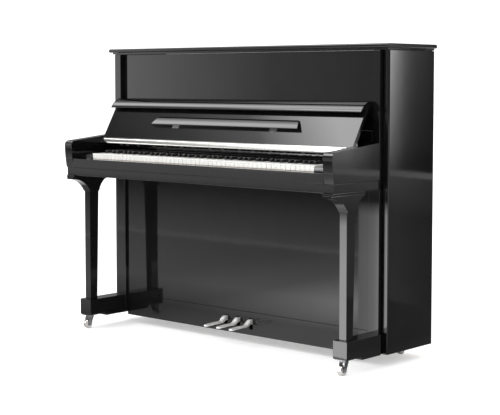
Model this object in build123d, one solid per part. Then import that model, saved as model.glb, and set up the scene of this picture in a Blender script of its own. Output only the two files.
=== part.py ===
"""Upright piano with 88 keys, three pedals, a folding fallboard and front legs on casters.

Millimetres. The origin is on the floor under the middle of the whole piano.
+X is the player's right, +Y runs from the player towards the wall, and +Z is up.
The fallboard (the lid over the keys) is drawn open, with its front lip folded in.
"""
from build123d import *
from math import cos, radians, sin
import os

# ---------------------------------------------------------------- driving dimensions
# Keyboard
WHITE_KEYS = 52
FIRST_KEY = 9                # semitones above C: the lowest key is an A
KEY_COUNT = 88
WHITE_PITCH = 23.558
SHARP_SLOT = 13.7            # room that the naturals' tails leave for a sharp
KEY_GAP = 1.0                # between neighbouring naturals
WHITE_LENGTH = 150.0         # visible length of a natural
SHARP_LENGTH = 98.0
SHARP_FOOT = 11.4            # width of a sharp at its foot
SHARP_CREST = 9.2
SHARP_RISE = 12.0            # above the naturals
KEY_TOP = 776.0              # playing surface above the floor
KEY_COVER = 6.0              # plastic cover
KEY_LIP = 22.0               # height of the cover's front
KEY_LIP_THICK = 3.0
STICK_HEIGHT = 25.0          # wooden key stick under the cover
STICK_GAP = 1.9
BALANCE_REACH = 215.0        # key fronts to the balance line
KEY_DIP = 10.0

# Case
ARM_REACH = 296.0            # arm fronts to the front of the case
CASE_DEPTH = 314.0
HEIGHT = 1227.0
BESIDE_KEYS = 77.5           # outermost key to the inner face of an arm
ARM_TO_SIDE = 37.0           # inner face of an arm to the inner face of a side panel
ARM_THICK = 44.5
SIDE_THICK = 30.0
SIDE_SET_BACK = 18.0         # side panels behind the stiles
SIDE_EDGE_RADIUS = 5.0
LID_OVERHANG = 12.5
LID_FRONT_OVERHANG = 4.0
LID_SLAB = 16.0
LID_STEP = 7.0
LID_GAP = 2.0
LID_FOLD = 158.0             # back of the lid to its folding line
LID_FOLD_GAP = 0.5
LID_ROUND = 6.0
LID_AXIS_RISE = 1.0
HINGE_LEAF = 14.0
HINGE_THICK = 0.8
HINGE_PIN = 1.4
BED_TOP = 714.6              # key bed
BED_THICK = 34.6
BED_SET_BACK = 12.0
ARM_FRONT_TOP = 828.0
ARM_BACK_TOP = 856.0
ARM_NOSE_RADIUS = 18.0
ARM_TOE = 10.0               # how far the foot of an arm's front is set back
SLIP_HEIGHT = 38.4           # key slip
SLIP_THICK = 38.0
SLIP_SET_BACK = 7.0
KEYS_SET_BACK = 52.0         # key fronts behind the arm fronts
BLOCK_HEIGHT = 57.4          # key blocks beside the keys
STILE_THICK = 34.0
UPPER_STILE = 29.0           # widths of the front stiles
LOWER_STILE = 52.0
UPPER_RECESS = 21.0
LOWER_RECESS = 12.0
PANEL_THICK = 20.0
UPPER_PANEL_FOOT = 899.0
BODY_FOOT = 50.0             # underside of the sides, bottom board and back
PLINTH_FOOT = 38.0
PLINTH_TOP = 134.0
PANEL_JOINT = 1.0            # gap round the removable panels
BOTTOM_THICK = 22.0

# Front legs and toe blocks
LEG_THICK = 34.0
LEG_INSET = 33.0             # outer face of a leg inside the outer face of a side panel
LEG_DEPTH = 40.0
LEG_TOP_DEPTH = 52.0
LEG_SET_BACK = 102.0         # leg front behind the arm front
CORBEL_HEIGHT = 65.0
CORBEL_FRONT = 95.0          # how far the corbel runs out in front of the leg
CORBEL_BACK = 51.0
CORBEL_LEDGE = 8.0
CORBEL_CHEEK = 5.0           # corbel wider than the leg on each side
LEG_PLATE = 10.0
LEG_PLATE_EDGE = 2.0
TOE_TOP = 130.0
TOE_FOOT = 61.0
TOE_WIDTH = 66.6
TOE_SHIFT = -0.1             # toe block's middle from the leg's middle
TOE_FRONT = 16.5             # toe block in front of the leg
TOE_DEEP_PART = 117.0        # rear stretch that reaches down to the case's foot

# Fallboard, its folding lip and the music shelf
FALLBOARD_LEAN = 30.2        # from upright, when open
PIVOT_HEIGHT = 121.4         # above the key bed
PIVOT_FORWARD = 89.0         # in front of the case
PIVOT_BEHIND = 23.3          # behind the board's inner face
BOARD_THICK = 16.0
BOARD_BELOW = 38.0           # board below its pivot
BOARD_ABOVE = 174.5
BOARD_END_GAP = 2.0
PIVOT_PIN_RADIUS = 4.0
PIVOT_PIN_REACH = 12.0       # into the arm
PIVOT_LUG = 14.0
RUNNING_CLEARANCE = 0.05
LIP_LENGTH = 51.0
LIP_THICK = 9.0
LIP_DROOP = 34.0             # below level, when folded in
LIP_HEEL = 12.0              # part of the lip that covers the board's end
SHELF_START = 53.0           # along the board from its pivot
SHELF_HEIGHT = 44.0
SHELF_FOOT_THICK = 17.5
SHELF_TOP_THICK = 12.0
SHELF_FOOT_HALF = 405.0
SHELF_TOP_HALF = 388.0
SHELF_CLEARANCE = 0.5
SHELF_HINGE_AT = 270.0
SHELF_HINGE_LENGTH = 38.0
SHELF_HINGE_HEIGHT = 6.5
SHELF_HINGE_THICK = 0.35     # lies in the gap behind the opened shelf
STRIP_HINGE_FOOT = 36.0      # long hinge strip along the foot of the board, below the pivot
STRIP_HINGE_HEIGHT = 29.0
STRIP_HINGE_THICK = 1.5
STRIP_THICK = 16.0           # name strip behind the sharps
STRIP_HEIGHT = 11.5
STRIP_LIFT = 3.0
RAIL_THICK = 16.0            # fixed rail behind the fallboard
RAIL_SWEEP_GAP = 3.5
CURTAIN_THICK = 3.0          # strip of the rail that hangs down to the key sticks
CURTAIN_GAP = 4.0

# Pedals
PEDAL_PITCH = 70.0
PEDAL_WIDTH = 22.0
PEDAL_NECK = 11.0
PEDAL_TIP = 131.0            # pedal tip in front of the plinth
PEDAL_AXLE_BEHIND = 44.0     # axle behind the plinth's face
PEDAL_AXLE_HEIGHT = 85.0
PEDAL_AXLE_RADIUS = 4.0
PEDAL_TAIL = 63.0
PEDAL_SLOT_SIDE = 4.0
PEDAL_SLOT_FOOT = 62.0
PEDAL_SLOT_TOP = 110.0

# Casters
WHEEL_RADIUS = 20.0
WHEEL_WIDTH = 20.0
WHEEL_AXLE = 3.0
CASTER_TRAIL = 12.0
CASTER_FORWARD = 26.0        # swivel axis behind the toe block's front
CASTER_PLATE = 3.0
CASTER_PLATE_SIZE = 50.0
CASTER_STEM = 5.0
CHEEK_THICK = 2.5
CHEEK_GAP = 1.0
ROLLER_AT = 640.0            # rear rollers from the middle
ROLLER_FORWARD = 45.0        # in front of the back

# Back, sound structure and strings, measured forward from the back
POST_DEPTH = 58.0
POST_WIDTH = 76.0
POST_COUNT = 5
BACK_RAIL = 100.0
BACK_TOP_GAP = 22.0          # below the lid
SIDE_GAP = 1.0               # beside the side panels
RIB_DEPTH = 18.0
RIB_WIDTH = 24.0
RIB_COUNT = 9
RIB_GAP = 4.0                # in front of the posts
SOUNDBOARD_THICK = 8.0
SOUNDBOARD_TOP = 1060.0
SOUNDBOARD_FOOT = 110.0
PLATE_THICK = 15.0
PLATE_GAP = 15.0             # in front of the soundboard
PLATE_EDGE = 60.0
PLATE_BAYS = 10
PLATE_STRUT = 18.0
PIN_FIELD = 130.0            # solid top of the iron plate
STRING_LIFT = 7.0            # strings in front of the iron plate
BASS_LIFT = 6.0              # bass strings in front of the others
BASS_NOTES = 26
STRING_THICK = 1.0
BRIDGE_WIDTH = 32.0
BRIDGE_GAP = 5.0             # round the struts that pass through a bridge's notches
PIN_RADIUS = 3.5
PIN_LENGTH = 24.0

# Action, measured forward from the strings
HAMMER_LINE = 68.0           # hammer pivots in front of the strings
TAIL_REACH = 35.0            # key sticks run on behind the hammer pivots
HAMMER_PIVOT_HEIGHT = 880.0
STRIKE_HEIGHT = 1010.0
HAMMER_WIDTH = 8.0
HAMMER_REST_GAP = 4.0
DAMPER_LINE = 42.0
DAMPER_PIVOT_HEIGHT = 820.0
DAMPED_NOTES = 68
MUFFLER_LINE = 20.0
MUFFLER_REST = 1035.0
ACTION_SIDE = 20.0           # action rails beyond the outermost keys
BRACKET_FOOT = 14.0
BED_TAIL = 20.0              # key bed behind the key tails

# ---------------------------------------------------------------- derived places
KEY_SPAN = WHITE_KEYS * WHITE_PITCH
ARM_INNER = KEY_SPAN / 2 + BESIDE_KEYS
ARM_OUTER = ARM_INNER + ARM_THICK
SIDE_INNER = ARM_INNER + ARM_TO_SIDE
SIDE_OUTER = SIDE_INNER + SIDE_THICK
LID_HALF = SIDE_OUTER + LID_OVERHANG
BED_HALF = ARM_OUTER - 2.5

FRONT = -(ARM_REACH + CASE_DEPTH) / 2
CASE_FRONT = FRONT + ARM_REACH
BACK = CASE_FRONT + CASE_DEPTH
SIDE_FRONT = CASE_FRONT + SIDE_SET_BACK
KEY_FRONT = FRONT + KEYS_SET_BACK
BALANCE = KEY_FRONT + BALANCE_REACH
COVER_FOOT = KEY_TOP - KEY_COVER
STICK_FOOT = COVER_FOOT - STICK_HEIGHT
SHARP_FRONT = KEY_FRONT + WHITE_LENGTH - SHARP_LENGTH - 2

SIDE_TOP = HEIGHT - LID_SLAB - LID_STEP - LID_GAP
BED_FOOT = BED_TOP - BED_THICK
PIVOT_Y = CASE_FRONT - PIVOT_FORWARD
PIVOT_Z = BED_TOP + PIVOT_HEIGHT
UPPER_FACE = CASE_FRONT + UPPER_RECESS
LOWER_FACE = CASE_FRONT + LOWER_RECESS

POST_FRONT = BACK - POST_DEPTH
RIB_FRONT = POST_FRONT - RIB_GAP - RIB_DEPTH
BOARD_FRONT = RIB_FRONT - SOUNDBOARD_THICK
PLATE_BACK = BOARD_FRONT - PLATE_GAP
PLATE_FRONT = PLATE_BACK - PLATE_THICK
STRING_Y = PLATE_FRONT - STRING_LIFT
BASS_Y = STRING_Y - BASS_LIFT
HAMMER_Y = STRING_Y - HAMMER_LINE
KEY_TAIL = HAMMER_Y + TAIL_REACH
DAMPER_Y = STRING_Y - DAMPER_LINE
MUFFLER_Y = STRING_Y - MUFFLER_LINE
INSIDE_HALF = SIDE_INNER - SIDE_GAP
INSIDE_TOP = SIDE_TOP - BACK_TOP_GAP
LID_FOLD_Y = BACK - LID_FOLD - LID_FOLD_GAP / 2


# ---------------------------------------------------------------- helpers
def block(x, y, z):
    """A box that fills three (low, high) ranges."""
    ranges = (x, y, z)
    size = [high - low for low, high in ranges]
    middle = [(high + low) / 2 for low, high in ranges]
    return Pos(*middle) * Box(*size)


def both_sides(low, high):
    """The same range of X on the left and on the right."""
    return [(-high, -low), (low, high)]


def across(outline, x):
    """Extrude a closed outline, drawn in Y and Z, over a range of X."""
    face = Pos(x[0], 0, 0) * (Plane.YZ * make_face(outline))
    return extrude(face, amount=x[1] - x[0], dir=(1, 0, 0))


def slab(points, x):
    """A straight-edged outline in Y and Z, extruded over a range of X."""
    return across(Polyline(*points, close=True), x)


def upright(points, z):
    """A straight-edged outline in X and Y, extruded over a range of Z."""
    return extrude(Pos(0, 0, z[0]) * make_face(Polyline(*points, close=True)), amount=z[1] - z[0])


def rod_x(x, y, z, radius):
    """A round rod along X, over a range of X."""
    middle = (x[0] + x[1]) / 2
    return Pos(middle, y, z) * Rot(0, 90, 0) * Cylinder(radius, x[1] - x[0])


def rod_z(x, y, z, radius):
    """A round rod along Z, over a range of Z."""
    return Pos(x, y, (z[0] + z[1]) / 2) * Cylinder(radius, z[1] - z[0])


def mirrored(shape):
    """The same piece on the other side of the piano."""
    return mirror(shape, about=Plane.YZ)


def save(name, *shapes):
    """Write one node as a group of separate solids."""
    solids = [solid for shape in shapes for solid in shape.solids()]
    export_step(Compound(children=solids), f"parts/{name}.step")


# ---------------------------------------------------------------- case
def side_panel():
    """The right side of the case, a board with its front edges rounded."""
    panel = block((SIDE_INNER, SIDE_OUTER), (SIDE_FRONT, BACK), (BODY_FOOT, SIDE_TOP))
    front = panel.edges().filter_by(Axis.Z).filter_by_position(Axis.Y, SIDE_FRONT - 1, SIDE_FRONT + 1)
    return fillet(front, SIDE_EDGE_RADIUS)


def front_stiles():
    """Two narrow stiles above the key bed and two wide ones below it."""
    y = (CASE_FRONT, CASE_FRONT + STILE_THICK)
    upper = [block(x, y, (BED_TOP, SIDE_TOP)) for x in both_sides(SIDE_INNER - UPPER_STILE, SIDE_INNER)]
    lower = [block(x, y, (BODY_FOOT, BED_FOOT)) for x in both_sides(SIDE_INNER - LOWER_STILE, SIDE_INNER)]
    return upper + lower


def arm():
    """The right arm: a bowed front, a rounded top corner and a top that rises to the case."""
    rise = (ARM_BACK_TOP - ARM_FRONT_TOP) / ARM_REACH
    foot = (FRONT + ARM_TOE, BED_TOP)
    brow = (FRONT, ARM_FRONT_TOP - ARM_NOSE_RADIUS)
    bow = (FRONT + ARM_TOE * 0.3, (foot[1] + brow[1]) / 2)
    top = (FRONT + ARM_NOSE_RADIUS, ARM_FRONT_TOP + rise * ARM_NOSE_RADIUS)
    outline = [
        ThreePointArc(foot, bow, brow),
        TangentArc(brow, top, tangent=(0, 1)),
        Polyline(top, (CASE_FRONT, ARM_BACK_TOP), (CASE_FRONT, BED_TOP), foot),
    ]
    body = across(outline, (ARM_INNER, ARM_OUTER))
    bore = rod_x(
        (ARM_INNER - 1, ARM_INNER + PIVOT_PIN_REACH + 1), PIVOT_Y, PIVOT_Z,
        PIVOT_PIN_RADIUS + RUNNING_CLEARANCE,
    )
    return body - bore


def key_bed():
    """The shelf that carries the keyboard: wide under the arms, narrower inside the case."""
    front = block((-BED_HALF, BED_HALF), (FRONT + BED_SET_BACK, CASE_FRONT), (BED_FOOT, BED_TOP))
    inside = block((-SIDE_INNER, SIDE_INNER), (CASE_FRONT, KEY_TAIL + BED_TAIL), (BED_FOOT, BED_TOP))
    return front + inside


def key_slip():
    """The rail in front of the keys."""
    y = (FRONT + SLIP_SET_BACK, FRONT + SLIP_SET_BACK + SLIP_THICK)
    return block((-ARM_INNER, ARM_INNER), y, (BED_TOP, BED_TOP + SLIP_HEIGHT))


def key_blocks():
    """The blocks at both ends of the keyboard."""
    y = (FRONT + SLIP_SET_BACK + SLIP_THICK, KEY_FRONT + WHITE_LENGTH + STRIP_THICK + 2)
    z = (BED_TOP, BED_TOP + BLOCK_HEIGHT)
    return [block(x, y, z) for x in both_sides(KEY_SPAN / 2 + KEY_GAP, ARM_INNER - PANEL_JOINT)]


def name_strip():
    """The strip that hides the gap behind the sharps, on a foot at each key block."""
    y0 = KEY_FRONT + WHITE_LENGTH + 2
    y = (y0, y0 + STRIP_THICK)
    foot = KEY_TOP + STRIP_LIFT
    strip = block((-ARM_INNER + 1, ARM_INNER - 1), y, (foot, foot + STRIP_HEIGHT))
    for x in both_sides(KEY_SPAN / 2 + 20, ARM_INNER - 1):
        strip += block(x, y, (BED_TOP + BLOCK_HEIGHT, foot))
    return strip


def upper_panel():
    """The removable panel above the keys, between the upper stiles."""
    half = SIDE_INNER - UPPER_STILE - PANEL_JOINT
    return block((-half, half), (UPPER_FACE, UPPER_FACE + PANEL_THICK), (UPPER_PANEL_FOOT, SIDE_TOP - PANEL_JOINT))


def lower_panel():
    """The removable knee panel."""
    half = SIDE_INNER - LOWER_STILE - PANEL_JOINT
    z = (PLINTH_TOP + PANEL_JOINT / 2, BED_FOOT - PANEL_JOINT)
    return block((-half, half), (LOWER_FACE, LOWER_FACE + PANEL_THICK), z)


def pedal_places():
    """X of the left, middle and right pedal."""
    return [-PEDAL_PITCH, 0.0, PEDAL_PITCH]


def plinth():
    """The board under the knee panel, with a slot for each pedal."""
    half = SIDE_INNER - LOWER_STILE - PANEL_JOINT
    y = (LOWER_FACE, LOWER_FACE + PANEL_THICK)
    board = block((-half, half), y, (PLINTH_FOOT, PLINTH_TOP - PANEL_JOINT / 2))
    slot_half = PEDAL_NECK / 2 + PEDAL_SLOT_SIDE
    for x in pedal_places():
        z = (PEDAL_SLOT_FOOT, PEDAL_SLOT_TOP)
        board -= block((x - slot_half, x + slot_half), (y[0] - 1, y[1] + 1), z)
    return board


def bottom_board():
    """The floor of the case, behind the plinth."""
    y = (LOWER_FACE + PANEL_THICK, POST_FRONT)
    inner = SIDE_INNER - LOWER_STILE
    z = (BODY_FOOT, BODY_FOOT + BOTTOM_THICK)
    board = block((-INSIDE_HALF, INSIDE_HALF), (CASE_FRONT + STILE_THICK, y[1]), z)
    return board + block((-inner, inner), (y[0], CASE_FRONT + STILE_THICK), z)


def fallboard_rail():
    """The fixed rail behind the fallboard, which closes the case between the keys and the upper panel."""
    sweep = (BOARD_BELOW**2 + PIVOT_BEHIND**2) ** 0.5
    front = PIVOT_Y + sweep + RAIL_SWEEP_GAP
    level = PIVOT_Z - PIVOT_BEHIND
    back = UPPER_FACE
    half = ARM_INNER - PANEL_JOINT
    foot = COVER_FOOT + CURTAIN_GAP
    points = [
        (front, foot), (front + CURTAIN_THICK, foot), (front + CURTAIN_THICK, level), (back, level),
        (back, UPPER_PANEL_FOOT - PANEL_JOINT), (back - RAIL_THICK, UPPER_PANEL_FOOT - PANEL_JOINT),
        (back - RAIL_THICK, level + RAIL_THICK), (front, level + RAIL_THICK),
    ]
    return slab(points, (-half, half))


# ---------------------------------------------------------------- lid
def hinge_half():
    """Half the length of the lid's long hinge."""
    return SIDE_INNER - 10


def lid_part(y0, y1, fold, open_front):
    """One half of the lid: a rounded slab over two stepped battens, with a rebate for its hinge leaf."""
    top = block((-LID_HALF, LID_HALF), (y0, y1), (HEIGHT - LID_SLAB, HEIGHT))
    rounded = list(top.edges().filter_by(Axis.Y))
    if open_front:
        rounded += list(top.edges().filter_by(Axis.X).filter_by_position(Axis.Y, y0 - 1, y0 + 1))
    part = fillet(rounded, LID_ROUND)
    z = HEIGHT - LID_SLAB
    for inset, thick in ((LID_OVERHANG, LID_STEP), (LID_OVERHANG + 8, LID_GAP)):
        half = LID_HALF - inset
        front = y0 + inset if open_front else y0
        part += block((-half, half), (front, y1), (z - thick, z))
        z -= thick
    rebate = (fold - HINGE_LEAF, y1 + 1) if open_front else (y0 - 1, fold + HINGE_LEAF)
    return part - block((-hinge_half(), hinge_half()), rebate, (HEIGHT - HINGE_THICK, HEIGHT + 1))


def lid_front():
    """The front half of the lid, which folds back."""
    return lid_part(CASE_FRONT - LID_FRONT_OVERHANG, LID_FOLD_Y - LID_FOLD_GAP / 2, LID_FOLD_Y, True)


def lid_rear():
    """The rear half of the lid, fixed to the case."""
    return lid_part(LID_FOLD_Y + LID_FOLD_GAP / 2, BACK, LID_FOLD_Y, False)


def lid_hinge(front):
    """One leaf of the long hinge, let in flush at the folding line; the rear leaf has the pin."""
    x = (-hinge_half(), hinge_half())
    z = (HEIGHT - HINGE_THICK, HEIGHT)
    if front:
        return block(x, (LID_FOLD_Y - HINGE_LEAF, LID_FOLD_Y - HINGE_PIN - 0.2), z)
    leaf = block(x, (LID_FOLD_Y, LID_FOLD_Y + HINGE_LEAF), z)
    return leaf + rod_x(x, LID_FOLD_Y, HEIGHT + LID_AXIS_RISE, HINGE_PIN)


# ---------------------------------------------------------------- front legs
def leg():
    """The right front leg with its corbel and cap plate."""
    outer = SIDE_OUTER - LEG_INSET
    x = (outer - LEG_THICK, outer)
    front = FRONT + LEG_SET_BACK
    neck = BED_FOOT - LEG_PLATE - CORBEL_HEIGHT
    corbel_top = BED_FOOT - LEG_PLATE
    shaft = slab(
        [(front, TOE_TOP), (front + LEG_DEPTH, TOE_TOP), (front + LEG_TOP_DEPTH, neck), (front, neck)], x
    )
    rear = front + LEG_TOP_DEPTH
    shoulder = corbel_top - CORBEL_LEDGE
    f_mid = (front - CORBEL_FRONT * 0.42, neck + (shoulder - neck) * 0.74)
    b_mid = (rear + CORBEL_BACK * 0.37, neck + (shoulder - neck) * 0.66)
    cove = [
        ThreePointArc((front, neck), f_mid, (front - CORBEL_FRONT, shoulder)),
        Polyline(
            (front - CORBEL_FRONT, shoulder), (front - CORBEL_FRONT, corbel_top),
            (rear + CORBEL_BACK, corbel_top), (rear + CORBEL_BACK, shoulder),
        ),
        ThreePointArc((rear + CORBEL_BACK, shoulder), b_mid, (rear, neck)),
        Line((rear, neck), (front, neck)),
    ]
    corbel = across(cove, (x[0] - CORBEL_CHEEK, x[1] + CORBEL_CHEEK))
    edge = CORBEL_CHEEK + LEG_PLATE_EDGE
    plate = block(
        (x[0] - edge, x[1] + edge), (front - CORBEL_FRONT, rear + CORBEL_BACK + LEG_PLATE_EDGE),
        (corbel_top, BED_FOOT),
    )
    return shaft + corbel + plate


def toe_middle():
    """X of the middle of the right toe block."""
    return SIDE_OUTER - LEG_INSET - LEG_THICK / 2 + TOE_SHIFT


def toe_block():
    """The right toe block: a beam from the leg to the case, deeper at its rear."""
    x = (toe_middle() - TOE_WIDTH / 2, toe_middle() + TOE_WIDTH / 2)
    front = FRONT + LEG_SET_BACK - TOE_FRONT
    step = CASE_FRONT - TOE_DEEP_PART
    points = [
        (front, TOE_FOOT), (front, TOE_TOP), (CASE_FRONT, TOE_TOP), (CASE_FRONT, BODY_FOOT),
        (step, BODY_FOOT), (step, TOE_FOOT),
    ]
    return slab(points, x)


# ---------------------------------------------------------------- casters
def swivel_axis():
    """X and Y of the right caster's swivel axis."""
    return toe_middle(), FRONT + LEG_SET_BACK - TOE_FRONT + CASTER_FORWARD


def caster_plate():
    """The plate under the right toe block, bored for the swivel stem."""
    x, y = swivel_axis()
    half = CASTER_PLATE_SIZE / 2
    z = (TOE_FOOT - CASTER_PLATE, TOE_FOOT)
    return block((x - half, x + half), (y - half, y + half), z) - rod_z(
        x, y, (z[0] - 1, z[1] + 1), CASTER_STEM + RUNNING_CLEARANCE
    )


def cheeks(x, y_axle, y_top, z_top, half):
    """Two fork cheeks that taper from a flat top down to the axle."""
    inner = WHEEL_WIDTH / 2 + CHEEK_GAP
    points = [
        (y_axle - 7, WHEEL_RADIUS - 7), (y_axle + 7, WHEEL_RADIUS - 7),
        (y_top + half, z_top), (y_top - half, z_top),
    ]
    sides = [(x - inner - CHEEK_THICK, x - inner), (x + inner, x + inner + CHEEK_THICK)]
    return [slab(points, side) for side in sides]


def caster_fork():
    """The right caster's fork with its stem and axle."""
    x, y = swivel_axis()
    top = TOE_FOOT - CASTER_PLATE - 1
    crown = top - 6
    wheel_y = y - CASTER_TRAIL
    fork = rod_z(x, y, (crown, top), WHEEL_WIDTH / 2 + CHEEK_GAP + CHEEK_THICK + 4)
    fork += rod_z(x, y, (top, TOE_FOOT - 0.1), CASTER_STEM)
    for cheek in cheeks(x, wheel_y, y - 2, crown, 13):
        fork += cheek
    reach = WHEEL_WIDTH / 2 + CHEEK_GAP + CHEEK_THICK
    return fork + rod_x((x - reach, x + reach), wheel_y, WHEEL_RADIUS, WHEEL_AXLE)


def wheel(x, y):
    """A caster wheel on the floor."""
    span = (x - WHEEL_WIDTH / 2, x + WHEEL_WIDTH / 2)
    tyre = rod_x(span, y, WHEEL_RADIUS, WHEEL_RADIUS)
    return tyre - rod_x((span[0] - 1, span[1] + 1), y, WHEEL_RADIUS, WHEEL_AXLE + RUNNING_CLEARANCE)


def caster_wheel():
    """The right front wheel."""
    x, y = swivel_axis()
    return wheel(x, y - CASTER_TRAIL)


def roller_bracket():
    """The fixed bracket of the right rear roller, with its axle."""
    y = BACK - ROLLER_FORWARD
    plate = (BODY_FOOT - CASTER_PLATE, BODY_FOOT)
    reach = WHEEL_WIDTH / 2 + CHEEK_GAP + CHEEK_THICK
    x = (ROLLER_AT - reach - 12, ROLLER_AT + reach + 12)
    bracket = block(x, (y - 24, y + 24), plate)
    for cheek in cheeks(ROLLER_AT, y, y, plate[0], 18):
        bracket += cheek
    return bracket + rod_x((ROLLER_AT - reach, ROLLER_AT + reach), y, WHEEL_RADIUS, WHEEL_AXLE)


# ---------------------------------------------------------------- fallboard
def on_board(along, out):
    """Y and Z of a point of the open fallboard: along it from its pivot, and out from its face."""
    lean = radians(FALLBOARD_LEAN)
    y = PIVOT_Y + along * sin(lean) - (out + PIVOT_BEHIND) * cos(lean)
    z = PIVOT_Z + along * cos(lean) + (out + PIVOT_BEHIND) * sin(lean)
    return y, z


def on_board_face(along, thick):
    """The section of a plate that lies on the fallboard's face over a range along it."""
    low, high = along
    return [on_board(low, 0), on_board(high, 0), on_board(high, thick), on_board(low, thick)]


def on_lip(along, out):
    """Y and Z of a point of the folded lip: along it from its hinge, and out from it."""
    hinge_y, hinge_z = on_board(BOARD_ABOVE, 0)
    droop = radians(LIP_DROOP)
    y = hinge_y - along * cos(droop) - out * sin(droop)
    z = hinge_z - along * sin(droop) + out * cos(droop)
    return y, z


def fallboard():
    """The board that closes over the keys."""
    corners = [(-BOARD_BELOW, 0), (BOARD_ABOVE, 0), (BOARD_ABOVE, -BOARD_THICK), (-BOARD_BELOW, -BOARD_THICK)]
    half = ARM_INNER - BOARD_END_GAP
    return slab([on_board(*corner) for corner in corners], (-half, half))


def fallboard_lip():
    """The folding front lip: a crowned strip with a heel that covers the board's end."""
    heel = (-LIP_HEEL, 1.0)
    brow = (-LIP_HEEL, LIP_THICK * 0.45)
    crown = (LIP_LENGTH * 0.4, LIP_THICK)
    tip_out = (LIP_LENGTH - 2, LIP_THICK * 0.2)
    tip = (LIP_LENGTH, -0.6)
    tip_in = (LIP_LENGTH - 3, -3.0)
    belly = (LIP_LENGTH / 3, -6.0)
    outline = [
        ThreePointArc(on_lip(*brow), on_lip(*crown), on_lip(*tip_out)),
        ThreePointArc(on_lip(*tip_out), on_lip(*tip), on_lip(*tip_in)),
        Polyline(on_lip(*tip_in), on_lip(*belly), on_lip(0, 1.0), on_lip(*heel), on_lip(*brow)),
    ]
    half = ARM_INNER - BOARD_END_GAP
    return across(outline, (-half, half))


def shelf_section(along, half, thick):
    """A cross-section of the music shelf, square to the board's length."""
    lean = radians(FALLBOARD_LEAN)
    y, z = on_board(along, 0)
    plane = Plane(origin=(0, y, z), x_dir=(1, 0, 0), z_dir=(0, sin(lean), cos(lean)))
    middle = -(SHELF_CLEARANCE + thick / 2)
    return plane * Pos(0, middle) * Rectangle(2 * half, thick)


def music_shelf():
    """The wedge-shaped music shelf, folded against the fallboard."""
    foot = shelf_section(SHELF_START + SHELF_CLEARANCE, SHELF_FOOT_HALF, SHELF_FOOT_THICK)
    top = shelf_section(SHELF_START + SHELF_HEIGHT, SHELF_TOP_HALF, SHELF_TOP_THICK)
    return loft([foot, top], ruled=True)


def fallboard_hardware():
    """Pivot lugs with their pins, the long hinge strip at the board's foot, and the shelf's two hinges."""
    pieces = []
    half = ARM_INNER - BOARD_END_GAP
    lug = [(-PIVOT_LUG, -BOARD_THICK), (PIVOT_LUG, -BOARD_THICK), (8, -PIVOT_BEHIND - 8), (-8, -PIVOT_BEHIND - 8)]
    lug_points = [on_board(*corner) for corner in lug]
    right = slab(lug_points, (half - 24, half))
    right += rod_x((half - 24, ARM_INNER + PIVOT_PIN_REACH), PIVOT_Y, PIVOT_Z, PIVOT_PIN_RADIUS)
    pieces += [right, mirrored(right)]
    strip = (-STRIP_HINGE_FOOT, -STRIP_HINGE_FOOT + STRIP_HINGE_HEIGHT)
    pieces.append(slab(on_board_face(strip, STRIP_HINGE_THICK), (-half + 1, half - 1)))
    length = SHELF_HINGE_LENGTH / 2
    leaf = on_board_face((SHELF_START - SHELF_HINGE_HEIGHT, SHELF_START), SHELF_HINGE_THICK)
    for x in (-SHELF_HINGE_AT, SHELF_HINGE_AT):
        pieces.append(slab(leaf, (x - length, x + length)))
    return pieces


# ---------------------------------------------------------------- keys
def key_layout():
    """For each key: pitch class, natural's left edge or None, and the left and right of its slot."""
    tails = {}
    left = 0.0
    group_tail = {"low": WHITE_PITCH - 2 * SHARP_SLOT / 3, "high": WHITE_PITCH - 3 * SHARP_SLOT / 4}
    for pitch in range(12):
        sharp = pitch in (1, 3, 6, 8, 10)
        width = SHARP_SLOT if sharp else group_tail["low" if pitch < 5 else "high"]
        tails[pitch] = (left, left + width)
        left += width
    octave = 7 * WHITE_PITCH
    naturals = [0, 2, 4, 5, 7, 9, 11]
    start = -KEY_SPAN / 2 - naturals.index(FIRST_KEY) * WHITE_PITCH
    keys = []
    for number in range(FIRST_KEY, FIRST_KEY + KEY_COUNT):
        base = start + (number // 12) * octave
        pitch = number % 12
        head = base + naturals.index(pitch) * WHITE_PITCH if pitch in naturals else None
        slot = (base + tails[pitch][0], base + tails[pitch][1])
        if number == FIRST_KEY:
            slot = (head, slot[1])
        if number == FIRST_KEY + KEY_COUNT - 1:
            slot = (slot[0], head + WHITE_PITCH)
        keys.append((pitch, head, slot))
    return keys


KEYS = key_layout()
NOTE_X = [(slot[0] + slot[1]) / 2 for _, _, slot in KEYS]
KEY_NODES = {
    0: "white_key_c", 1: "sharp_key_c", 2: "white_key_d", 3: "sharp_key_d", 4: "white_key_e", 5: "white_key_f",
    6: "sharp_key_f", 7: "white_key_g", 8: "sharp_key_g", 9: "white_key_a", 10: "sharp_key_a", 11: "white_key_b",
}


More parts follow.
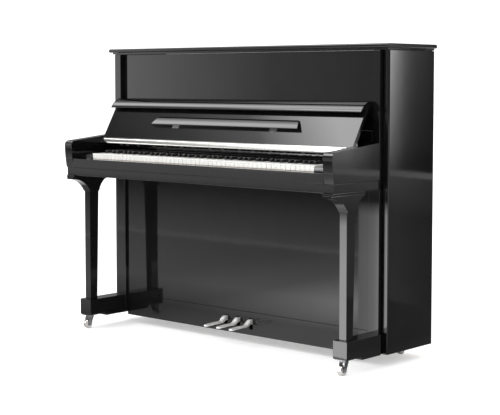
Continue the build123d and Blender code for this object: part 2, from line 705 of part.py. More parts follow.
def natural(head, slot):
    """A natural: a plastic cover with a front lip, on its wooden stick."""
    gap = KEY_GAP / 2
    wide = (head + gap, head + WHITE_PITCH - gap)
    tail = (max(slot[0] + gap, wide[0]), min(slot[1] - gap, wide[1]))
    back = KEY_FRONT + WHITE_LENGTH
    shoulder = SHARP_FRONT - 1.5
    plan = [
        (wide[0], KEY_FRONT), (wide[1], KEY_FRONT), (wide[1], shoulder), (tail[1], shoulder),
        (tail[1], back), (tail[0], back), (tail[0], shoulder), (wide[0], shoulder),
    ]
    corners = [p for i, p in enumerate(plan) if p != plan[i - 1]]
    cover = upright(corners, (COVER_FOOT, KEY_TOP))
    cover += block(wide, (KEY_FRONT, KEY_FRONT + KEY_LIP_THICK), (KEY_TOP - KEY_LIP, COVER_FOOT))
    stick_half = (SHARP_SLOT - STICK_GAP) / 2
    middle = (slot[0] + slot[1]) / 2
    thin = (middle - stick_half, middle + stick_half)
    y = KEY_FRONT + KEY_LIP_THICK
    head_x = (wide[0] + 0.5, wide[1] - 0.5)
    stick = block(head_x, (y, shoulder), (STICK_FOOT, COVER_FOOT))
    stick += block(thin, (shoulder, KEY_TAIL), (STICK_FOOT, COVER_FOOT))
    return [cover, stick]


def sharp(slot):
    """A sharp: a tapered block on its wooden stick."""
    middle = (slot[0] + slot[1]) / 2
    foot = SHARP_FOOT / 2
    crest = SHARP_CREST / 2
    back = KEY_FRONT + WHITE_LENGTH - 2
    slope = 4.0
    y_mid = (SHARP_FRONT + back) / 2
    base = Pos(middle, y_mid, COVER_FOOT) * Rectangle(2 * foot, back - SHARP_FRONT)
    top = Pos(middle, y_mid + slope / 2, KEY_TOP + SHARP_RISE) * Rectangle(2 * crest, back - SHARP_FRONT - slope)
    stick_half = (SHARP_SLOT - STICK_GAP) / 2
    stick = block((middle - stick_half, middle + stick_half), (SHARP_FRONT, KEY_TAIL), (STICK_FOOT, COVER_FOOT))
    return [loft([base, top], ruled=True), stick]


def key_frame():
    """Front, balance and back rails that the keys rest on."""
    half = KEY_SPAN / 2
    x = (-half, half)
    front = block(x, (KEY_FRONT + 8, KEY_FRONT + 48), (BED_TOP, STICK_FOOT - KEY_DIP - 1))
    balance = block(x, (BALANCE - 6, BALANCE + 6), (BED_TOP, STICK_FOOT - 0.5))
    back = block(x, (KEY_TAIL - 37, KEY_TAIL - 7), (BED_TOP, STICK_FOOT - 0.5))
    return [front, balance, back]


# ---------------------------------------------------------------- action
def hammers():
    """88 hammers: butt, shank and felted head, upright at rest."""
    pieces = []
    for x in NOTE_X:
        span = (x - HAMMER_WIDTH / 2, x + HAMMER_WIDTH / 2)
        points = [
            (HAMMER_Y - 8, HAMMER_PIVOT_HEIGHT - 12), (HAMMER_Y + 8, HAMMER_PIVOT_HEIGHT - 12),
            (HAMMER_Y + 8, HAMMER_PIVOT_HEIGHT + 12), (HAMMER_Y + 3, HAMMER_PIVOT_HEIGHT + 20),
            (HAMMER_Y + 3, STRIKE_HEIGHT - 12), (HAMMER_Y + 15, STRIKE_HEIGHT - 8),
            (HAMMER_Y + 21, STRIKE_HEIGHT), (HAMMER_Y + 15, STRIKE_HEIGHT + 8),
            (HAMMER_Y - 12, STRIKE_HEIGHT + 12), (HAMMER_Y - 12, STRIKE_HEIGHT - 12),
            (HAMMER_Y - 3, STRIKE_HEIGHT - 12), (HAMMER_Y - 3, HAMMER_PIVOT_HEIGHT + 20),
            (HAMMER_Y - 8, HAMMER_PIVOT_HEIGHT + 12),
        ]
        pieces.append(slab(points, span))
    return pieces


def action_span(extra=0.0):
    """The range of X that the action's rails run over."""
    half = KEY_SPAN / 2 + ACTION_SIDE + extra
    return (-half, half)


def hammer_rest_rail():
    """The padded rail behind the shanks, which the left pedal moves."""
    y1 = HAMMER_Y - 3 - HAMMER_REST_GAP
    return block(action_span(-6), (y1 - 15, y1), (STRIKE_HEIGHT - 55, STRIKE_HEIGHT - 25))


def wippens():
    """88 levers over the key tails, each with its jack."""
    foot = COVER_FOOT + 15
    pieces = []
    for x in NOTE_X:
        span = (x - HAMMER_WIDTH / 2, x + HAMMER_WIDTH / 2)
        points = [
            (HAMMER_Y - 40, foot), (HAMMER_Y + 26, foot), (HAMMER_Y + 26, foot + 12), (HAMMER_Y + 2, foot + 14),
            (HAMMER_Y, HAMMER_PIVOT_HEIGHT - 20), (HAMMER_Y - 8, HAMMER_PIVOT_HEIGHT - 20),
            (HAMMER_Y - 8, foot + 14), (HAMMER_Y - 40, foot + 12),
        ]
        pieces.append(slab(points, span))
    return pieces


def dampers():
    """Dampers for all but the highest notes: lever, wire and felted head."""
    pieces = []
    face = BASS_Y - 1.5
    for x in NOTE_X[:DAMPED_NOTES]:
        span = (x - HAMMER_WIDTH / 2, x + HAMMER_WIDTH / 2)
        points = [
            (DAMPER_Y - 5, DAMPER_PIVOT_HEIGHT - 6), (DAMPER_Y + 5, DAMPER_PIVOT_HEIGHT - 6),
            (DAMPER_Y + 12, DAMPER_PIVOT_HEIGHT + 50), (face, DAMPER_PIVOT_HEIGHT + 58),
            (face, DAMPER_PIVOT_HEIGHT + 110), (face - 12, DAMPER_PIVOT_HEIGHT + 110),
            (face - 14, DAMPER_PIVOT_HEIGHT + 64), (DAMPER_Y + 4, DAMPER_PIVOT_HEIGHT + 52),
        ]
        pieces.append(slab(points, span))
    return pieces


def muffler_rail():
    """The felt curtain that the middle pedal lowers between hammers and strings."""
    return block(action_span(), (MUFFLER_Y - 2.5, MUFFLER_Y + 2.5), (MUFFLER_REST, MUFFLER_REST + 40))


def action_frame():
    """Four brackets joined by a main rail and a top rail."""
    bracket_y = (HAMMER_Y + 22, HAMMER_Y + 38)
    foot_y = (KEY_TAIL + 3, KEY_TAIL + 3 + BRACKET_FOOT)
    points = [
        (foot_y[0], BED_TOP), (foot_y[1], BED_TOP), (foot_y[1], 790), (bracket_y[1], 815),
        (bracket_y[1], MUFFLER_REST + 42), (bracket_y[0], MUFFLER_REST + 42), (bracket_y[0], 800), (foot_y[0], 785),
    ]
    rail_y = (HAMMER_Y + 16, bracket_y[0] + 1)
    frame = block(action_span(), rail_y, (HAMMER_PIVOT_HEIGHT - 18, HAMMER_PIVOT_HEIGHT + 4))
    frame += block(action_span(), bracket_y, (MUFFLER_REST + 42, MUFFLER_REST + 54))
    end = action_span()[1]
    inner = [(NOTE_X[note] + NOTE_X[note + 1]) / 2 for note in (BASS_NOTES, 56)]
    for x in (-end + 5, end - 5):
        frame += slab(points, (x - 5, x + 5))
    for x in inner:
        frame += slab(points, (x - 1.7, x + 1.7))
    return frame


# ---------------------------------------------------------------- back and strings
def back_frame():
    """Posts between a top and a bottom rail."""
    y = (POST_FRONT, BACK)
    frame = block((-INSIDE_HALF, INSIDE_HALF), y, (BODY_FOOT, BODY_FOOT + BACK_RAIL))
    frame += block((-INSIDE_HALF, INSIDE_HALF), y, (INSIDE_TOP - BACK_RAIL, INSIDE_TOP))
    pitch = (2 * INSIDE_HALF - POST_WIDTH) / (POST_COUNT - 1)
    for post in range(POST_COUNT):
        x = -INSIDE_HALF + post * pitch
        frame += block((x, x + POST_WIDTH), y, (BODY_FOOT, INSIDE_TOP))
    return frame


def pin_block():
    """The laminated block that grips the tuning pins."""
    return block((-INSIDE_HALF, INSIDE_HALF), (PLATE_BACK, POST_FRONT), (INSIDE_TOP - PIN_FIELD + 20, INSIDE_TOP))


def soundboard():
    """The soundboard panel and the slanted ribs glued to its back."""
    half = INSIDE_HALF - 10
    z = (SOUNDBOARD_FOOT, SOUNDBOARD_TOP)
    panel = block((-half, half), (BOARD_FRONT, RIB_FRONT), z)
    room = block((-half + 30, half - 30), (RIB_FRONT, RIB_FRONT + RIB_DEPTH), (z[0] + 30, z[1] - 30))
    pitch = 2 * half / RIB_COUNT
    middle = (z[0] + z[1]) / 2
    ribs = []
    for number in range(RIB_COUNT):
        x = -half + (number + 0.5) * pitch
        bar = Pos(x, RIB_FRONT + RIB_DEPTH / 2, middle) * Rot(0, -40, 0) * Box(2600, RIB_DEPTH, RIB_WIDTH)
        ribs.append(bar & room)
    return [panel] + ribs


def bridge_band(points, width, y):
    """A flat band of one width along points in X and Z, over a range of Y."""
    path = Polyline(*points)
    band = make_face(offset(path, width / 2))
    return extrude(Pos(0, y[1], 0) * (Plane.XZ * band), amount=y[1] - y[0])


def bridge_points():
    """The long bridge's and the bass bridge's lines, in X and Z."""
    long_line = [
        (INSIDE_HALF - 110, SOUNDBOARD_TOP - 110), (INSIDE_HALF - 320, SOUNDBOARD_TOP - 270),
        (60, SOUNDBOARD_FOOT + 380), (-230, SOUNDBOARD_FOOT + 210), (-480, SOUNDBOARD_FOOT + 160),
    ]
    bass_line = [(60, SOUNDBOARD_FOOT + 110), (INSIDE_HALF - 190, SOUNDBOARD_FOOT + 190)]
    return long_line, bass_line


def plate_bays():
    """The ranges of X of the iron plate's open bays, between its struts."""
    half = INSIDE_HALF - 5
    pitch = (2 * half - 2 * PLATE_EDGE + PLATE_STRUT) / PLATE_BAYS
    left = -half + PLATE_EDGE
    return [(left + bay * pitch, left + (bay + 1) * pitch - PLATE_STRUT) for bay in range(PLATE_BAYS)]


def bridges():
    """The long bridge and the bass bridge, notched where the plate's struts pass through."""
    pieces = []
    bays = plate_bays()
    for line, string_y in zip(bridge_points(), (STRING_Y, BASS_Y)):
        bridge = bridge_band(line, BRIDGE_WIDTH, (string_y + 1, BOARD_FRONT))
        for bay, following in zip(bays, bays[1:]):
            x = (bay[1] - BRIDGE_GAP, following[0] + BRIDGE_GAP)
            bridge -= block(x, (string_y, PLATE_BACK + BRIDGE_GAP), (SOUNDBOARD_FOOT, SOUNDBOARD_TOP))
        pieces.append(bridge)
    return pieces


def iron_plate():
    """The cast plate: a solid pin field over bays parted by struts."""
    half = INSIDE_HALF - 5
    y = (PLATE_FRONT, PLATE_BACK)
    plate = block((-half, half), y, (SOUNDBOARD_FOOT - 10, INSIDE_TOP))
    cut = (y[0] - 1, y[1] + 1)
    for bay in plate_bays():
        plate -= block(bay, cut, (SOUNDBOARD_FOOT + PLATE_EDGE, INSIDE_TOP - PIN_FIELD))
    return plate


def tuning_pins():
    """One tuning pin for each note, in three staggered rows."""
    pieces = []
    for note, x in enumerate(NOTE_X):
        z = INSIDE_TOP - 45 - 22 * (note % 3)
        pin = Pos(x, PLATE_FRONT - PIN_LENGTH / 2, z) * Rot(90, 0, 0) * Cylinder(PIN_RADIUS, PIN_LENGTH)
        pieces.append(pin)
    return pieces


def string_between(top, foot, y):
    """A straight flat string between two points in X and Z."""
    half = STRING_THICK / 2
    points = [(top[0] - half, top[1]), (top[0] + half, top[1]), (foot[0] + half, foot[1]), (foot[0] - half, foot[1])]
    face = Pos(0, y + half, 0) * (Plane.XZ * make_face(Polyline(*points, close=True)))
    return extrude(face, amount=STRING_THICK)


def strings():
    """One string course for each note: the bass crosses over the long bridge's courses."""
    pieces = []
    top = INSIDE_TOP - PIN_FIELD + 12
    low_end = SOUNDBOARD_FOOT + 60
    for note, x in enumerate(NOTE_X):
        if note < BASS_NOTES:
            pieces.append(string_between((x, top), (x + 560, low_end + 3 * (BASS_NOTES - note)), BASS_Y))
        else:
            share = (note - BASS_NOTES) / (KEY_COUNT - BASS_NOTES)
            reach = (top - low_end) * (1 - share) ** 0.8 + 90 * share
            lean = -90 * (1 - share)
            pieces.append(string_between((x, top), (x + lean, top - reach), STRING_Y))
    return pieces


# ---------------------------------------------------------------- pedals
def pedal(x):
    """A pedal: a flat tongue, a curved neck through the plinth and a lever on its axle."""
    axle = LOWER_FACE + PEDAL_AXLE_BEHIND
    z = PEDAL_AXLE_HEIGHT
    tip = LOWER_FACE - PEDAL_TIP
    tail = axle + PEDAL_TAIL
    tongue = [
        Polyline((tip + 60, z - 9), (tip + 8, z - 12)),
        ThreePointArc((tip + 8, z - 12), (tip, z - 6.5), (tip + 8, z - 2)),
        Line((tip + 8, z - 2), (tip + 86, z)),
        ThreePointArc((tip + 86, z), (LOWER_FACE - 25, z + 5.5), (LOWER_FACE - 12, z + 20)),
        Polyline((LOWER_FACE - 12, z + 20), (LOWER_FACE - 12, z - 9), (tip + 60, z - 9)),
    ]
    wide = across(tongue, (x - PEDAL_WIDTH / 2, x + PEDAL_WIDTH / 2))
    neck_points = [
        (LOWER_FACE - 12, z - 9), (LOWER_FACE - 12, z + 20), (LOWER_FACE + 14, z + 19), (axle - 10, z + 8),
        (tail, z + 6), (tail, z - 6), (axle, z - 8),
    ]
    neck = slab(neck_points, (x - PEDAL_NECK / 2, x + PEDAL_NECK / 2))
    bore = rod_x((x - PEDAL_NECK, x + PEDAL_NECK), axle, z, PEDAL_AXLE_RADIUS + RUNNING_CLEARANCE)
    return wide + neck - bore


def trapwork():
    """The pedals' axle with its bearers, and the levers and dowels that carry their motion up."""
    axle = LOWER_FACE + PEDAL_AXLE_BEHIND
    floor = BODY_FOOT + BOTTOM_THICK
    reach = PEDAL_PITCH + 30
    mount = rod_x((-reach, reach), axle, PEDAL_AXLE_HEIGHT, PEDAL_AXLE_RADIUS)
    for x in (-1.5 * PEDAL_PITCH + 12, -PEDAL_PITCH / 2, PEDAL_PITCH / 2, 1.5 * PEDAL_PITCH - 12):
        mount += block((x - 6, x + 6), (axle - 10, axle + 10), (floor, PEDAL_AXLE_HEIGHT + 8))
    pieces = [mount]
    lever_z = PEDAL_AXLE_HEIGHT + 26
    tail = axle + PEDAL_TAIL
    far = INSIDE_HALF - 70
    for index, (near, end) in enumerate(((-PEDAL_PITCH, -far), (0, -far + 40), (PEDAL_PITCH, far))):
        y = (tail - 20 + 26 * index, tail + 26 * index)
        x = (min(near, end) - 12, max(near, end) + 12)
        lever = block(x, y, (lever_z, lever_z + 22))
        dowel = rod_z(end, (y[0] + y[1]) / 2, (lever_z + 22, BED_FOOT - 2), 7)
        pieces += [lever, dowel]
    return pieces


# ---------------------------------------------------------------- write the nodes
os.makedirs("parts", exist_ok=True)

save("side_panel_right", side_panel())
save("side_panel_left", mirrored(side_panel()))
save("front_stiles", *front_stiles())
save("arm_right", arm())
save("arm_left", mirrored(arm()))
save("key_bed", key_bed())
save("key_slip", key_slip())
save("key_blocks", *key_blocks())
save("name_strip", name_strip())
save("upper_panel", upper_panel())
save("lower_panel", lower_panel())
save("plinth", plinth())
save("bottom_board", bottom_board())
save("fallboard_rail", fallboard_rail())
save("lid_front", lid_front())
save("lid_rear", lid_rear())
save("lid_hinge_rear_leaf", lid_hinge(False))
save("lid_hinge_front_leaf", lid_hinge(True))
save("front_legs", leg(), mirrored(leg()))
save("toe_blocks", toe_block(), mirrored(toe_block()))
save("caster_plates", caster_plate(), mirrored(caster_plate()), roller_bracket(), mirrored(roller_bracket()))
save("caster_fork_right", caster_fork())
save("caster_fork_left", mirrored(caster_fork()))
save("caster_wheel_right", caster_wheel())
save("caster_wheel_left", mirrored(caster_wheel()))
save("rear_rollers", wheel(ROLLER_AT, BACK - ROLLER_FORWARD), wheel(-ROLLER_AT, BACK - ROLLER_FORWARD))
save("fallboard", fallboard())
save("fallboard_lip", fallboard_lip())
save("fallboard_hardware", *fallboard_hardware())
save("music_shelf", music_shelf())
for pitch, node in KEY_NODES.items():
    solids = []
    for key_pitch, head, slot in KEYS:
        if key_pitch == pitch:
            solids += sharp(slot) if head is None else natural(head, slot)
    save(node, *solids)
save("key_frame", *key_frame())
save("hammers", *hammers())
save("hammer_rest_rail", hammer_rest_rail())
save("wippens", *wippens())
save("dampers", *dampers())
save("muffler_rail", muffler_rail())
save("action_frame", action_frame())
save("back_frame", back_frame())
save("pin_block", pin_block())
save("soundboard", *soundboard())
save("bridges", *bridges())
save("iron_plate", iron_plate())
save("tuning_pins", *tuning_pins())
save("strings", *strings())
for name, x in zip(("left", "middle", "right"), pedal_places()):
    save(f"pedal_{name}", pedal(x))
save("trapwork", *trapwork())
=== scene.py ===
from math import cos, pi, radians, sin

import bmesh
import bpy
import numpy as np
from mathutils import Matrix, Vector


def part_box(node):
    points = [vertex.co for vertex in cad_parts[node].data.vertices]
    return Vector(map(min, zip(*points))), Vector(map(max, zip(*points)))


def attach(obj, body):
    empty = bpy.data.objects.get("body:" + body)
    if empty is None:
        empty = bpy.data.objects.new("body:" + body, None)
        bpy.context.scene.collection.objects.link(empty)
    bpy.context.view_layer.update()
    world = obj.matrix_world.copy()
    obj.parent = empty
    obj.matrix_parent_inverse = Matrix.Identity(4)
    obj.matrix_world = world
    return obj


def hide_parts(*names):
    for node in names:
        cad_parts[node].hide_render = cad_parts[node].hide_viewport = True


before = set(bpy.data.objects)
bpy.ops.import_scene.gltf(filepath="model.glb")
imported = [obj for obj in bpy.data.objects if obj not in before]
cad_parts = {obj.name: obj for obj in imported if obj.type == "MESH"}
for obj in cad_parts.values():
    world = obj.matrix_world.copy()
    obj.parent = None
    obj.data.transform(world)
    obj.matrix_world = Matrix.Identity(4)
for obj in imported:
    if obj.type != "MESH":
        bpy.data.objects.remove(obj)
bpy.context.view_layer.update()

# %% [markdown]
# # An upright piano in black polyester
# The frame holds the piano's real sizes and its moving bodies. This lesson gives each part its finished
# surface: lacquered boards with softened edges, a keyboard, hammers, strings, pedals and casters.
# Every length is in metres. +X is the player's right, +Y runs to the wall and +Z is up.

MM = 0.001

# %% [markdown]
# ## The camera
# The piano is seen from its right front, from a little below the lid, through a long lens. A long lens
# from far away keeps upright edges nearly parallel, as in a catalogue view.

# %% Camera
camera_data = bpy.data.cameras.new("camera")
camera_data.lens = 94.86
camera_data.sensor_width = 36.0
camera_data.shift_y = -0.06
camera = bpy.data.objects.new("camera", camera_data)
camera.location = (3.6532, -4.0117, 1.0897)
camera.rotation_euler = (radians(90 - 4.231), 0, radians(41.793))
bpy.context.scene.collection.objects.link(camera)
bpy.context.scene.camera = camera
bpy.context.scene.view_settings.view_transform = "Standard"
print("camera", round(camera.location.length, 2), "m from the origin")

# %% [markdown]
# ## Surfaces from loops of points
# Nearly every new piece here is a stack of closed loops: a section that is carried along a line while it
# grows or shrinks. Quads join each loop to the next, and the first and last loops are filled in, so the
# surface is closed. numpy works out all the points at once.


# %% Loops to a closed surface
def closed_stack(loops):
    """loops[i, j] is point j of loop i. Quads join loop i to loop i + 1, and both ends are filled."""
    rows, cols = loops.shape[:2]
    i, j = np.meshgrid(np.arange(rows - 1), np.arange(cols), indexing="ij")
    after = (j + 1) % cols
    quads = np.stack([i * cols + j, i * cols + after, (i + 1) * cols + after, (i + 1) * cols + j], axis=-1)
    ends = [np.arange(cols)[::-1].tolist(), (np.arange(cols) + (rows - 1) * cols).tolist()]
    return loops.reshape(-1, 3), quads.reshape(-1, 4).tolist() + ends


def joined(parts):
    """Several surfaces as one: each surface's faces count on from the points before it."""
    starts = np.cumsum([0] + [len(points) for points, _ in parts])
    faces = [[start + n for n in face] for start, (_, some) in zip(starts, parts) for face in some]
    return np.concatenate([points for points, _ in parts]), faces


def set_edge(outline, inset):
    """Moves each side of a closed outline inwards by inset, and its corners to where the sides meet:
    a corner shifts by inset times the sum of its two inward normals over one plus their product."""
    sides = np.roll(outline, -1, axis=0) - outline
    sides = sides / np.linalg.norm(sides, axis=1, keepdims=True)
    inward = np.stack([-sides[:, 1], sides[:, 0]], axis=1)
    before = np.roll(inward, 1, axis=0)
    share = 1 + (inward * before).sum(axis=1, keepdims=True)
    return outline + inset * (inward + before) / share


def round_corners(outline, radius, steps=3):
    """Each corner becomes a quadratic curve from radius before it to radius after it."""
    ahead = np.roll(outline, -1, axis=0) - outline
    ahead = ahead / np.linalg.norm(ahead, axis=1, keepdims=True)
    start = outline - radius * np.roll(ahead, 1, axis=0)
    end = outline + radius * ahead
    t = np.linspace(0, 1, steps)[None, :, None]
    curve = (1 - t) ** 2 * start[:, None] + 2 * t * (1 - t) * outline[:, None] + t ** 2 * end[:, None]
    return curve.reshape(-1, 2)


def rim(low, high, radius, steps=3):
    """Heights and insets of a slab whose two rims are quarter circles: inset r(1 - sin a) and
    rise r(1 - cos a)."""
    a = np.linspace(0, pi / 2, steps)
    rise = radius * (1 - np.cos(a))
    inset = radius * (1 - np.sin(a))
    return np.concatenate([low + rise, (high - rise)[::-1]]), np.concatenate([inset, inset[::-1]])


def lifted(outline, level, axis):
    """An outline's points in space: the outline lies square to axis, at that level."""
    u, v = outline[:, 0], outline[:, 1]
    w = np.full_like(u, level)
    return np.stack({"x": (w, u, v), "y": (v, w, u), "z": (u, v, w)}[axis], axis=1)


def slab(outline, low, high, edge, corner=None, axis="z", steps=3):
    """An outline carried from low to high along an axis, with soft rims. Its corners are rounded by
    corner, or by the rim's own radius, or left as they are where corner is 0."""
    corner = edge if corner is None else corner
    outline = np.array(outline, dtype=float)
    loops = []
    for level, inset in zip(*rim(low, high, edge, steps)):
        loop = set_edge(outline, inset)
        if corner:
            loop = round_corners(loop, max(corner - inset, corner * 0.2), steps)
        loops.append(lifted(loop, level, axis))
    return closed_stack(np.array(loops))


def rectangle(u0, u1, v0, v1):
    """The four corners of a rectangle, anticlockwise."""
    return [(u0, v0), (u1, v0), (u1, v1), (u0, v1)]


def bend(start, middle, end, count=9):
    """Points of the quadratic curve through three points: its control point is twice the middle less
    the mean of the ends."""
    start, middle, end = (np.array(point, dtype=float) for point in (start, middle, end))
    control = 2 * middle - (start + end) / 2
    t = np.linspace(0, 1, count)[:, None]
    return (1 - t) ** 2 * start + 2 * t * (1 - t) * control + t ** 2 * end


def smooth(value, start, end):
    """Rises from 0 at start to 1 at end as 3t^2 - 2t^3."""
    t = np.clip((value - start) / (end - start), 0, 1)
    return t * t * (3 - 2 * t)


def mirrored(surface):
    """The same surface on the piano's other side; put() turns its faces outwards again."""
    points, faces = surface
    return points * np.array([-1, 1, 1]), faces


def put(name, surface, finish, body, stands_for=(), crease=35):
    """Makes a surface a piece on its body: merged doubles, outward faces, smooth but for creases. Weighted
    normals let a large face keep its own direction, so a flat beside a rounded rim mirrors as a flat."""
    points, faces = surface
    mesh = bpy.data.meshes.new(name)
    mesh.from_pydata(points.tolist(), [], faces)
    tidy = bmesh.new()
    tidy.from_mesh(mesh)
    bmesh.ops.remove_doubles(tidy, verts=tidy.verts, dist=1e-6)
    bmesh.ops.recalc_face_normals(tidy, faces=tidy.faces)
    tidy.to_mesh(mesh)
    tidy.free()
    mesh.polygons.foreach_set("use_smooth", np.ones(len(mesh.polygons), dtype=bool))
    mesh.set_sharp_from_angle(angle=radians(crease))
    mesh.materials.append(finish)
    piece = bpy.data.objects.new(name, mesh)
    bpy.context.scene.collection.objects.link(piece)
    flats = piece.modifiers.new("true flats", "WEIGHTED_NORMAL")
    flats.weight = 100
    flats.keep_sharp = True
    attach(piece, body)
    if stands_for:
        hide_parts(*stands_for)
    print(f"{name}: {len(mesh.polygons)} faces on {body}")
    return piece


# %% [markdown]
# ## Softened copies of the frame's boards
# A lacquered board never has a sharp edge: the polyester is sanded and polished over a radius of a
# millimetre or two, and that thin line catches the light. The frame's own boards have the right holes,
# slots and rebates, so a merged copy of such a board gets a Bevel, whose hardened normals keep the flats
# perfectly flat.


# %% Softened copy
def softened(node, finish, body, radius, segments=3, angle=40, name=None):
    """A merged copy of a frame node with flat faces made whole and its edges rounded."""
    mesh = bpy.data.meshes.new(name or f"{node}_finished")
    work = bmesh.new()
    work.from_mesh(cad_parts[node].data)
    bmesh.ops.remove_doubles(work, verts=work.verts, dist=1e-5)
    bmesh.ops.dissolve_limit(work, angle_limit=radians(0.5), verts=work.verts, edges=work.edges)
    work.to_mesh(mesh)
    work.free()
    mesh.polygons.foreach_set("use_smooth", np.ones(len(mesh.polygons), dtype=bool))
    mesh.set_sharp_from_angle(angle=radians(angle))
    mesh.materials.clear()
    mesh.materials.append(finish)
    piece = bpy.data.objects.new(mesh.name, mesh)
    bpy.context.scene.collection.objects.link(piece)
    bevel = piece.modifiers.new("soft edges", "BEVEL")
    bevel.width = radius
    bevel.segments = segments
    bevel.limit_method = "ANGLE"
    bevel.angle_limit = radians(angle)
    bevel.harden_normals = True
    bevel.use_clamp_overlap = True
    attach(piece, body)
    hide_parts(node)
    print(f"{piece.name}: {len(mesh.polygons)} faces, edges of {radius / MM:.1f} mm")
    return piece


# %% [markdown]
# ## Finishes
# Each finish is a small node tree on the Principled shader. Patterns read Object coordinates, so they stay
# on their piece when it moves. Helpers keep the trees short.


# %% Node helpers
def new_finish(name, **sockets):
    """A material with its Principled shader's own sockets set. Returns the material and the shader."""
    finish = bpy.data.materials.new(name)
    finish.use_nodes = True
    shader = finish.node_tree.nodes["Principled BSDF"]
    for socket, value in sockets.items():
        shader.inputs[socket.replace("_", " ")].default_value = value
    return finish, shader


def add_node(finish, kind, settings=(), **inputs):
    """A node with plain values or links on its inputs, named with _ for a space."""
    made = finish.node_tree.nodes.new(kind)
    for field, value in dict(settings).items():
        setattr(made, field, value)
    for socket, value in inputs.items():
        target = made.inputs[socket.replace("_", " ")]
        if isinstance(value, bpy.types.NodeSocket):
            finish.node_tree.links.new(value, target)
        else:
            target.default_value = value
    return made


def place(finish, stretch=(1, 1, 1), turn=(0, 0, 0)):
    """Object coordinates through a Mapping node."""
    where = add_node(finish, "ShaderNodeTexCoord").outputs["Object"]
    return add_node(finish, "ShaderNodeMapping", Vector=where, Scale=stretch, Rotation=turn).outputs["Vector"]


def noise(finish, where, scale, detail=3.0, rough=0.5):
    """Noise in the range 0 to 1."""
    made = add_node(finish, "ShaderNodeTexNoise", Vector=where, Scale=scale, Detail=detail, Roughness=rough)
    return made.outputs["Fac"]


def spread(finish, value, low, high, start=0.0, end=1.0):
    """Maps a value from start...end to low...high."""
    inputs = {"From_Min": start, "From_Max": end, "To_Min": low, "To_Max": high}
    return add_node(finish, "ShaderNodeMapRange", Value=value, **inputs).outputs["Result"]


def ramp(finish, value, stops):
    """A colour ramp: stops are (place, colour)."""
    made = add_node(finish, "ShaderNodeValToRGB", Fac=value)
    elements = made.color_ramp.elements
    for _ in stops[2:]:
        elements.new(0.5)
    for element, (at, colour) in zip(elements, stops):
        element.position = at
        element.color = (*colour, 1)
    return made.outputs["Color"]


def link(finish, value, shader, socket):
    """Links a value to a shader's socket."""
    finish.node_tree.links.new(value, shader.inputs[socket])


def bumped(finish, shader, height, strength, distance):
    """A bump of that height on the shader's normal."""
    bump = add_node(finish, "ShaderNodeBump", Height=height, Strength=strength, Distance=distance)
    link(finish, bump.outputs["Normal"], shader, "Normal")


# %% [markdown]
# ## Black polyester
# Piano black is a thick clear-black polyester, sanded and buffed to a mirror. Its colour is almost nothing;
# what the eye sees is the room in it. A very faint long swell in the surface bends the reflections a
# little, and the buffing leaves the gloss a touch uneven.


# %% Black polyester
def black_polyester():
    """Deep black under a mirror gloss with a faint swell."""
    finish, shader = new_finish("black_polyester", IOR=1.46)
    where = place(finish)
    cloud = noise(finish, where, 7.0)
    tone = ramp(finish, cloud, [(0.3, (0.0032, 0.0032, 0.0035)), (0.7, (0.0055, 0.0055, 0.0058))])
    link(finish, tone, shader, "Base Color")
    link(finish, spread(finish, noise(finish, where, 45.0), 0.035, 0.075), shader, "Roughness")
    bumped(finish, shader, noise(finish, where, 12.0, 1.0), 0.06, 0.002)
    return finish


BLACK = black_polyester()
print("finish:", BLACK.name)

# %% [markdown]
# ## Key plastic
# The naturals have cast acrylic covers: a warm white, nearly smooth. The sharps are a matt black resin,
# rougher under the finger, with fine streaks along the key like the ebony it stands for.


# %% Key finishes
def white_plastic():
    """Warm white acrylic with a faint cloud in its tone."""
    finish, shader = new_finish("white_plastic", IOR=1.49, Subsurface_Weight=0.05)
    shader.inputs["Subsurface Radius"].default_value = (0.004, 0.003, 0.002)
    where = place(finish)
    cloud = noise(finish, where, 30.0)
    tone = ramp(finish, cloud, [(0.3, (0.84, 0.83, 0.80)), (0.7, (0.88, 0.875, 0.85))])
    link(finish, tone, shader, "Base Color")
    link(finish, spread(finish, noise(finish, where, 180.0), 0.12, 0.22), shader, "Roughness")
    bumped(finish, shader, noise(finish, where, 900.0, 2.0), 0.04, 0.0002)
    return finish


def black_resin():
    """Matt black with streaks along the key."""
    finish, shader = new_finish("black_resin", IOR=1.5)
    streak = noise(finish, place(finish, (900, 35, 900)), 1.0, 4.0)
    tone = ramp(finish, streak, [(0.3, (0.005, 0.005, 0.005)), (0.8, (0.014, 0.013, 0.013))])
    link(finish, tone, shader, "Base Color")
    link(finish, spread(finish, streak, 0.2, 0.36), shader, "Roughness")
    bumped(finish, shader, streak, 0.12, 0.0002)
    return finish


WHITE_PLASTIC = white_plastic()
BLACK_RESIN = black_resin()
print("finishes:", WHITE_PLASTIC.name, BLACK_RESIN.name)

# %% [markdown]
# ## Woods
# Spruce shows straight, close growth lines; beech shows short dark flecks. Both are noise that is
# stretched along the grain: a slow one for the growth lines and a fast one for the fibres.


# %% Wood finishes
def wood(name, along, light, dark, line, fleck):
    """Wood with its grain along "x", "y" or "z". line is how many growth lines a metre has."""
    finish, shader = new_finish(name, IOR=1.45)
    axis = "xyz".index(along)
    grain = [line, line, line]
    grain[axis] = line * 0.03
    fibre = [line * 9, line * 9, line * 9]
    fibre[axis] = fleck
    rings = noise(finish, place(finish, grain), 1.0, 2.0)
    fibres = noise(finish, place(finish, fibre), 1.0, 3.0, 0.6)
    both = add_node(finish, "ShaderNodeMath", {"operation": "MULTIPLY_ADD"})
    finish.node_tree.links.new(fibres, both.inputs[0])
    both.inputs[1].default_value = 0.35
    finish.node_tree.links.new(rings, both.inputs[2])
    link(finish, ramp(finish, both.outputs[0], [(0.45, light), (0.85, dark)]), shader, "Base Color")
    link(finish, spread(finish, fibres, 0.42, 0.62), shader, "Roughness")
    bumped(finish, shader, fibres, 0.25, 0.0003)
    return finish


